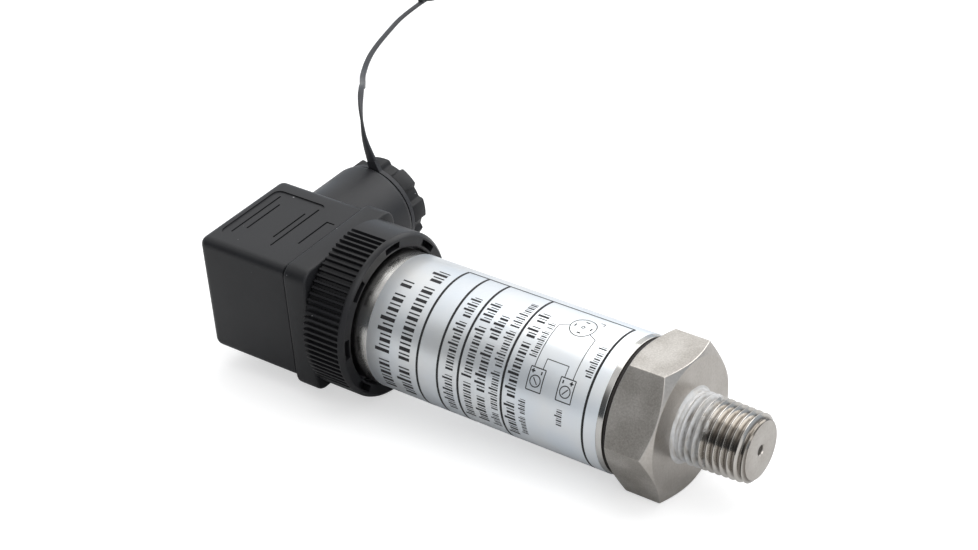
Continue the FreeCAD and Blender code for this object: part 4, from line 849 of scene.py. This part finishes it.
PANEL_BACK = BOX_BACK + 2.3
PANEL_FLOOR = BOX_HALF - 0.25
PANEL_HALF = 9.15
RULING_FLOOR = PANEL_FLOOR - 0.35
RULING_HALF = 0.19
CUT_TOP = BOX_HALF + 1
cutters = [block_cutter("panel", (PANEL_BACK, -PANEL_HALF, PANEL_FLOOR),
                        (PANEL_BACK + 13.2, PANEL_HALF, CUT_TOP), 1.6, ring_place)]
ruling_sides = [(behind - RULING_HALF, -half, behind + RULING_HALF, half)
                for behind, half in ((2.0, 7.6), (3.9, 5.1), (10.7, 5.0), (12.2, 7.6), (16.9, 4.6))]
ruling_sides.append((17.0, 4.25, 18.8, 4.6))
for number, (start, left, end, right) in enumerate(ruling_sides):
    cutters.append(block_cutter(f"ruling_{number}", (PANEL_BACK + start, left, RULING_FLOOR),
                                (PANEL_BACK + end, right, CUT_TOP), 0.12, ring_place, 2))
carve(box, cutters)
barrel = turned("plug_gland_barrel", eased([
    (10.0, BARREL_RADIUS, 0), (13.1, BARREL_RADIUS + 0.55, 0), (13.5, BARREL_RADIUS + 0.08, 0),
    (14.2, BARREL_RADIUS, 0), (BARREL_END, BARREL_RADIUS, 1.5), (BARREL_END, BARREL_BORE, 0.2),
    (22.8, BARREL_BORE, 0.1), (22.8, 6.6, 0.1), (16.0, 6.6, 0), (15.0, CABLE_HOLE, 0),
    (11.0, CABLE_HOLE, 0)]), gland_place, 128)
housing_finish = black_plastic("plug housing plastic", (0.0165, 0.0168, 0.0188), 0.38)
for piece in (box, barrel):
    piece.data.materials.append(housing_finish)
    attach(piece, "plug_head")
    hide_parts("plug_housing")

# ==== Gland nut ====
# Moulded nut with eight grip lobes; its threaded shank squeezes washer and grommet on the cable.
NUT_START = 30.45
NUT_END = 34.45
LOBE_RADIUS = 9.9
VALLEY_RADIUS = 8.95
LOBE_ANGLE = 40.0
LOBE_PITCH = 45.0
LOBE_FLAT = 11.0
LOBE_SIDE = 5.0
SHANK_BORE = 4.0
SHANK_END = 26.0
SHANK_RADIUS = 7.4


def soft_step(share):
    """A share of 0 to 1 with a soft start and end."""
    return share * share * (3 - 2 * share)


def lobed(angle):
    """Radius of the lobed head at an angle."""
    off = abs((math.degrees(angle) - LOBE_ANGLE + LOBE_PITCH / 2) % LOBE_PITCH - LOBE_PITCH / 2)
    return LOBE_RADIUS - (LOBE_RADIUS - VALLEY_RADIUS) * soft_step(share_of((off - LOBE_FLAT) / LOBE_SIDE))


nut_angles = [math.radians(1.25 * i) for i in range(288)]
nut_rows = []
for x, shrink in ((NUT_START, 3.2), (NUT_START, 0.35), (NUT_START + 0.12, 0.1), (NUT_START + 0.35, 0.0),
                  (NUT_END - 0.5, 0.0), (NUT_END - 0.2, 0.1), (NUT_END - 0.03, 0.35), (NUT_END, 0.7),
                  (NUT_END, 3.0)):
    nut_rows.append([polar(x, lobed(a) - shrink, a) for a in nut_angles])
for x, r in ((NUT_END, 4.75), (NUT_END - 0.7, SHANK_BORE), (SHANK_END, SHANK_BORE),
             (SHANK_END - 0.05, 4.2), (SHANK_END - 0.05, SHANK_RADIUS), (NUT_START, SHANK_RADIUS)):
    nut_rows.append([polar(x, r, a) for a in nut_angles])
nut = skin("lobed_gland_nut", nut_rows, gland_place, crease=34)
nut.data.materials.append(black_plastic("gland nut plastic", (0.011, 0.0112, 0.0125), 0.42))
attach(nut, "gland_nut")
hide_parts("gland_nut")

# ==== Strap ====
# The tether of a dust cap: a flat moulded strap, one piece with the loop under the nut and with a
# small eyelet at its free end. It springs up from its flared root, turns over once, comes down
# behind the plug and lies on the floor in a long bend.
STRAP_WIDTH = 0.0015
STRAP_THICKNESS = 0.0006
TWIST_END = 0.0236
FLOOR_HEIGHT = 0.00075
strap_route = [(-48.25, 19.51, 32.96), (-49.51, 19.11, 37.06), (-51.2, 20.6, 40.75), (-53.8, 23.5, 43.25),
               (-58.6, 29.9, 44.05), (-68.0, 41.4, 38.15), (-83.7, 60.0, 27.35), (-104.3, 84.2, 14.75),
               (-121.2, 104.0, 5.95), (-132.7, 117.6, 0.75), (-138.7, 127.4, 0.75), (-142.8, 136.2, 0.75),
               (-146.7, 146.7, 0.75), (-150.7, 158.0, 0.75), (-152.6, 169.2, 0.75)]


def smooth_line(name, route):
    """Points along the smooth line that the route's points control, in metres."""
    curve = bpy.data.curves.new(name, "CURVE")
    curve.dimensions = "3D"
    spline = curve.splines.new("NURBS")
    spline.points.add(len(route) - 1)
    for point, place in zip(spline.points, route):
        point.co = (*(Vector(place) * 0.001), 1)
    spline.order_u = 3
    spline.use_endpoint_u = True
    spline.resolution_u = 14
    holder = bpy.data.objects.new(name, curve)
    bpy.context.scene.collection.objects.link(holder)
    mesh = baked(holder)
    line = [v.co.copy() for v in mesh.vertices]
    bpy.data.objects.remove(holder)
    bpy.data.meshes.remove(mesh)
    return line


strap_line = smooth_line("strap line", strap_route)
tangents = []
for i in range(len(strap_line)):
    ahead = strap_line[min(len(strap_line) - 1, i + 1)]
    tangents.append((ahead - strap_line[max(0, i - 1)]).normalized())
carried = (gland_place.to_3x3() @ Vector((0, -1, 0))).normalized()
carried = (carried - tangents[0] * carried.dot(tangents[0])).normalized()
travelled = 0.0
frames = []
for i, along in enumerate(tangents):
    if i:
        carried = (tangents[i - 1].rotation_difference(along) @ carried).normalized()
        travelled += (strap_line[i] - strap_line[i - 1]).length
    frames.append((travelled, carried.copy()))
settled = next(i for i, (travelled, _) in enumerate(frames) if travelled > TWIST_END)


def offset_to_level(i):
    """Turn about the strap's run that lays the carried width level, between 0 and 180 degrees."""
    level = tangents[i].cross(Vector((0, 0, 1))).normalized()
    aside = frames[i][1]
    return math.atan2(aside.cross(level).dot(tangents[i]), aside.dot(level)) % math.pi


strap_rows = []
turn_at_end = offset_to_level(settled) - math.pi
for i, here in enumerate(strap_line):
    along = tangents[i]
    travelled, carried = frames[i]
    if i < settled:
        turn = turn_at_end * soft_step(travelled / TWIST_END)
    else:
        turn = offset_to_level(i)
        if abs(turn - turn_at_end) > math.pi / 2:
            turn += math.pi if turn < turn_at_end else -math.pi
        turn_at_end = turn
    across = Matrix.Rotation(turn, 3, along) @ carried
    flat = along.cross(across).normalized()
    flare = 1.0 + max(0.0, 1 - travelled / 0.009) ** 1.6
    slim = 1.0 - 0.18 * share_of((0.115 - travelled) / 0.07)
    half_width = STRAP_WIDTH / 2 * flare * slim
    bow = math.exp(-((travelled - 0.030) / 0.016) ** 2) - math.exp(-((travelled - 0.085) / 0.036) ** 2)
    aside = along.cross(Vector((0, 0, 1))).normalized() * 0.00018 * bow
    half_thick = STRAP_THICKNESS / 2 * (1 + 0.5 * max(0.0, 1 - travelled / 0.006))
    sink = Vector((0, 0, half_thick - FLOOR_HEIGHT)) * share_of((0.006 - here.z) / 0.005)
    ease = half_thick * 0.55
    row = []
    for u, v in ((-1, -1), (1, -1), (1, 1), (-1, 1)):
        for du, dv in (((0, 1), (1, 0)) if u * v > 0 else ((1, 0), (0, 1))):
            row.append((here + sink + aside + across * u * (half_width - ease * du)
                        + flat * v * (half_thick - ease * dv)) * 1000)
    strap_rows.append(row)
start_row, end_row = [[row[0].lerp(row[4], 0.5)] * 8 for row in (strap_rows[0], strap_rows[-1])]
strap_rows = [start_row] + strap_rows + [end_row]
strap = skin("tether_strap", strap_rows, Matrix.Identity(4), crease=50)
strap_finish = black_plastic("strap plastic", (0.030, 0.0305, 0.034), 0.42, bump=0.08, dust=0.9)
strap.data.materials.append(strap_finish)
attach(strap, "plug_head")
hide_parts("strap")

# ==== Inner parts ====
# Everything inside the tube, the plug and the gland keeps its construction shape and gets its
# own finish: ceramic, laminate, wire, tin plate, brass, zinc and rubber. The strap's two ends,
# moulded with it, take the strap's finish.


def inner_finish(name, colour, metallic, roughness, scale, spread, bump):
    """A finish with its own mottling and surface relief."""
    material, tree, shader = new_finish(name, colour, metallic, roughness)
    stains = placed(tree, blotch_group, {"Scale": scale, "Contrast": 1.2})
    tree.links.new(blend_colour(tree, stains.outputs["Broad"], tuple(c * (1 - spread) for c in colour),
                                tuple(min(1.0, c * (1 + spread)) for c in colour)),
                   shader.inputs["Base Color"])
    tree.links.new(ramp(tree, stains.outputs["Fine"], 0.2, 0.8, roughness - 0.06, roughness + 0.06),
                   shader.inputs["Roughness"])
    relief(tree, shader, stains.outputs["Fine"], bump, 0.00004)
    return material


inner = {key: inner_finish(*values) for key, values in {
    "ceramic": ("fired ceramic", (0.83, 0.82, 0.77), 0.0, 0.45, 400.0, 0.05, 0.2),
    "rubber": ("nitrile rubber", (0.022, 0.022, 0.023), 0.0, 0.62, 500.0, 0.2, 0.3),
    "steel": ("turned steel", (0.55, 0.54, 0.52), 1.0, 0.33, 300.0, 0.12, 0.25),
    "spring": ("oiled spring steel", (0.20, 0.20, 0.21), 1.0, 0.38, 300.0, 0.2, 0.2),
    "laminate": ("green laminate", (0.03, 0.17, 0.07), 0.0, 0.33, 600.0, 0.15, 0.15),
    "chips": ("moulded chips", (0.03, 0.03, 0.032), 0.0, 0.5, 900.0, 0.2, 0.25),
    "wire": ("wire insulation", (0.40, 0.05, 0.04), 0.0, 0.4, 500.0, 0.1, 0.1),
    "tin": ("tin plate", (0.72, 0.71, 0.68), 1.0, 0.3, 350.0, 0.1, 0.15),
    "brass": ("turned brass", (0.70, 0.50, 0.22), 1.0, 0.28, 300.0, 0.12, 0.2),
    "zinc": ("zinc plate", (0.62, 0.63, 0.64), 1.0, 0.34, 350.0, 0.12, 0.2),
    "block": ("grey thermoset", (0.32, 0.32, 0.31), 0.0, 0.5, 500.0, 0.1, 0.2),
}.items()}
inner["strap"] = strap_finish
for key, names in {
        "ceramic": ["sensor_cell"],
        "rubber": ["cell_seal", "base_seal", "plug_gasket", "screw_seal", "gland_grommet"],
        "steel": ["cell_retainer"],
        "spring": ["retaining_ring"],
        "laminate": ["circuit_board"],
        "chips": ["board_components"],
        "wire": ["cell_wires", "output_wires"],
        "tin": ["signal_blades", "earth_blade", "socket_contacts"],
        "brass": ["base_insert"],
        "zinc": ["terminal_screws", "fixing_screw", "gland_washer"],
        "block": ["terminal_block"],
        "strap": ["strap_loop", "strap_eyelet"]}.items():
    for name in names:
        cad_piece = frame["nodes"][name]
        cad_piece.data.materials.clear()
        cad_piece.data.materials.append(inner[key])

# ==== Floor, light and camera ====
# A plain pale floor under soft studio light: a large softbox overhead, one behind and one at the
# side. The camera looks down on the thread end from the right.
FLOOR_HALF = 2
floor_bm = bmesh.new()
for x, y in ((-1, -1), (1, -1), (1, 1), (-1, 1)):
    floor_bm.verts.new((x * FLOOR_HALF, y * FLOOR_HALF, 0))
floor_bm.faces.new(floor_bm.verts)
floor = settle("floor", floor_bm, Matrix.Identity(4))
floor_finish, floor_tree, floor_shader = new_finish("pale floor", (0.62, 0.62, 0.62), 0.0, 0.9)
floor_shader.inputs["Specular IOR Level"].default_value = 0.1
path = node(floor_tree, "ShaderNodeLightPath")
floor_shader.inputs["Emission Color"].default_value = (1, 1, 1, 1)
floor_tree.links.new(calc(floor_tree, "MULTIPLY", path.outputs["Is Camera Ray"], 0.56),
                     floor_shader.inputs["Emission Strength"])
floor.data.materials.append(floor_finish)

scene = bpy.context.scene
scene.view_settings.view_transform = "Standard"
world = bpy.data.worlds.new("studio")
scene.world = world
world.use_nodes = True
sky = world.node_tree
background = sky.nodes["Background"]
heading = node(sky, "ShaderNodeTexCoord").outputs["Generated"]
height = node(sky, "ShaderNodeSeparateXYZ", {0: heading}).outputs[2]


def toward(direction, wide, narrow):
    """1 in the middle of a soft round patch of the surroundings, 0 outside it."""
    facing = node(sky, "ShaderNodeVectorMath", {0: heading, 1: Vector(direction).normalized()},
                  operation="DOT_PRODUCT").outputs["Value"]
    return ramp(sky, facing, math.cos(math.radians(wide)), math.cos(math.radians(narrow)))


lift = ramp(sky, height, 0.0, 0.8, 0.55, 0.80)
bright = toward((-0.486, 0.707, 0.513), 60, 18)
dark = toward((-0.52, -0.82, 0.20), 42, 17)
lift = calc(sky, "MULTIPLY_ADD", bright, 0.25, lift)
lift = calc(sky, "MULTIPLY", lift, calc(sky, "MULTIPLY_ADD", dark, -0.86, 1.0))
seen = node(sky, "ShaderNodeLightPath").outputs["Is Camera Ray"]
tint = blend_colour(sky, ramp(sky, height, 0.0, 0.6), (0.80, 0.89, 1.0), (1.0, 1.0, 1.0))
sky.links.new(blend_colour(sky, seen, tint, (1.0, 1.0, 1.0)), background.inputs["Color"])
sky.links.new(calc(sky, "MAXIMUM", lift, seen), background.inputs["Strength"])


def softbox(name, place, target, width, height, power):
    """A flat rectangular lamp that faces the target."""
    lamp = bpy.data.lights.new(name, "AREA")
    lamp.shape = "RECTANGLE"
    lamp.size = width
    lamp.size_y = height
    lamp.energy = power
    holder = bpy.data.objects.new(name, lamp)
    scene.collection.objects.link(holder)
    holder.location = place
    aim = Vector(target) - Vector(place)
    holder.rotation_euler = aim.to_track_quat("-Z", "Y").to_euler()


softbox("overhead softbox", (0.05, 0.15, 0.75), (0, 0, 0.02), 0.9, 0.7, 2.8)
softbox("rear softbox", (0.22, 0.70, 0.48), (0.05, 0.02, 0.0), 0.6, 0.5, 1.9)
softbox("side softbox", (0.75, -0.15, 0.45), (0, 0, 0.02), 0.5, 0.5, 1.4)

lens = bpy.data.cameras.new("camera")
lens.sensor_width = 36.0
lens.lens = 80.13
lens.clip_start = 0.01
camera = bpy.data.objects.new("camera", lens)
scene.collection.objects.link(camera)
eye = Vector((0.222505, -0.298402, 0.220511))
look = Vector((-0.537225, 0.706977, -0.459971)).normalized()
right = Vector((0.809701, 0.584993, -0.046558)).normalized()
over = right.cross(look).normalized()
camera.matrix_world = Matrix.Translation(eye) @ Matrix((right, over, -look)).transposed().to_4x4()
scene.camera = camera
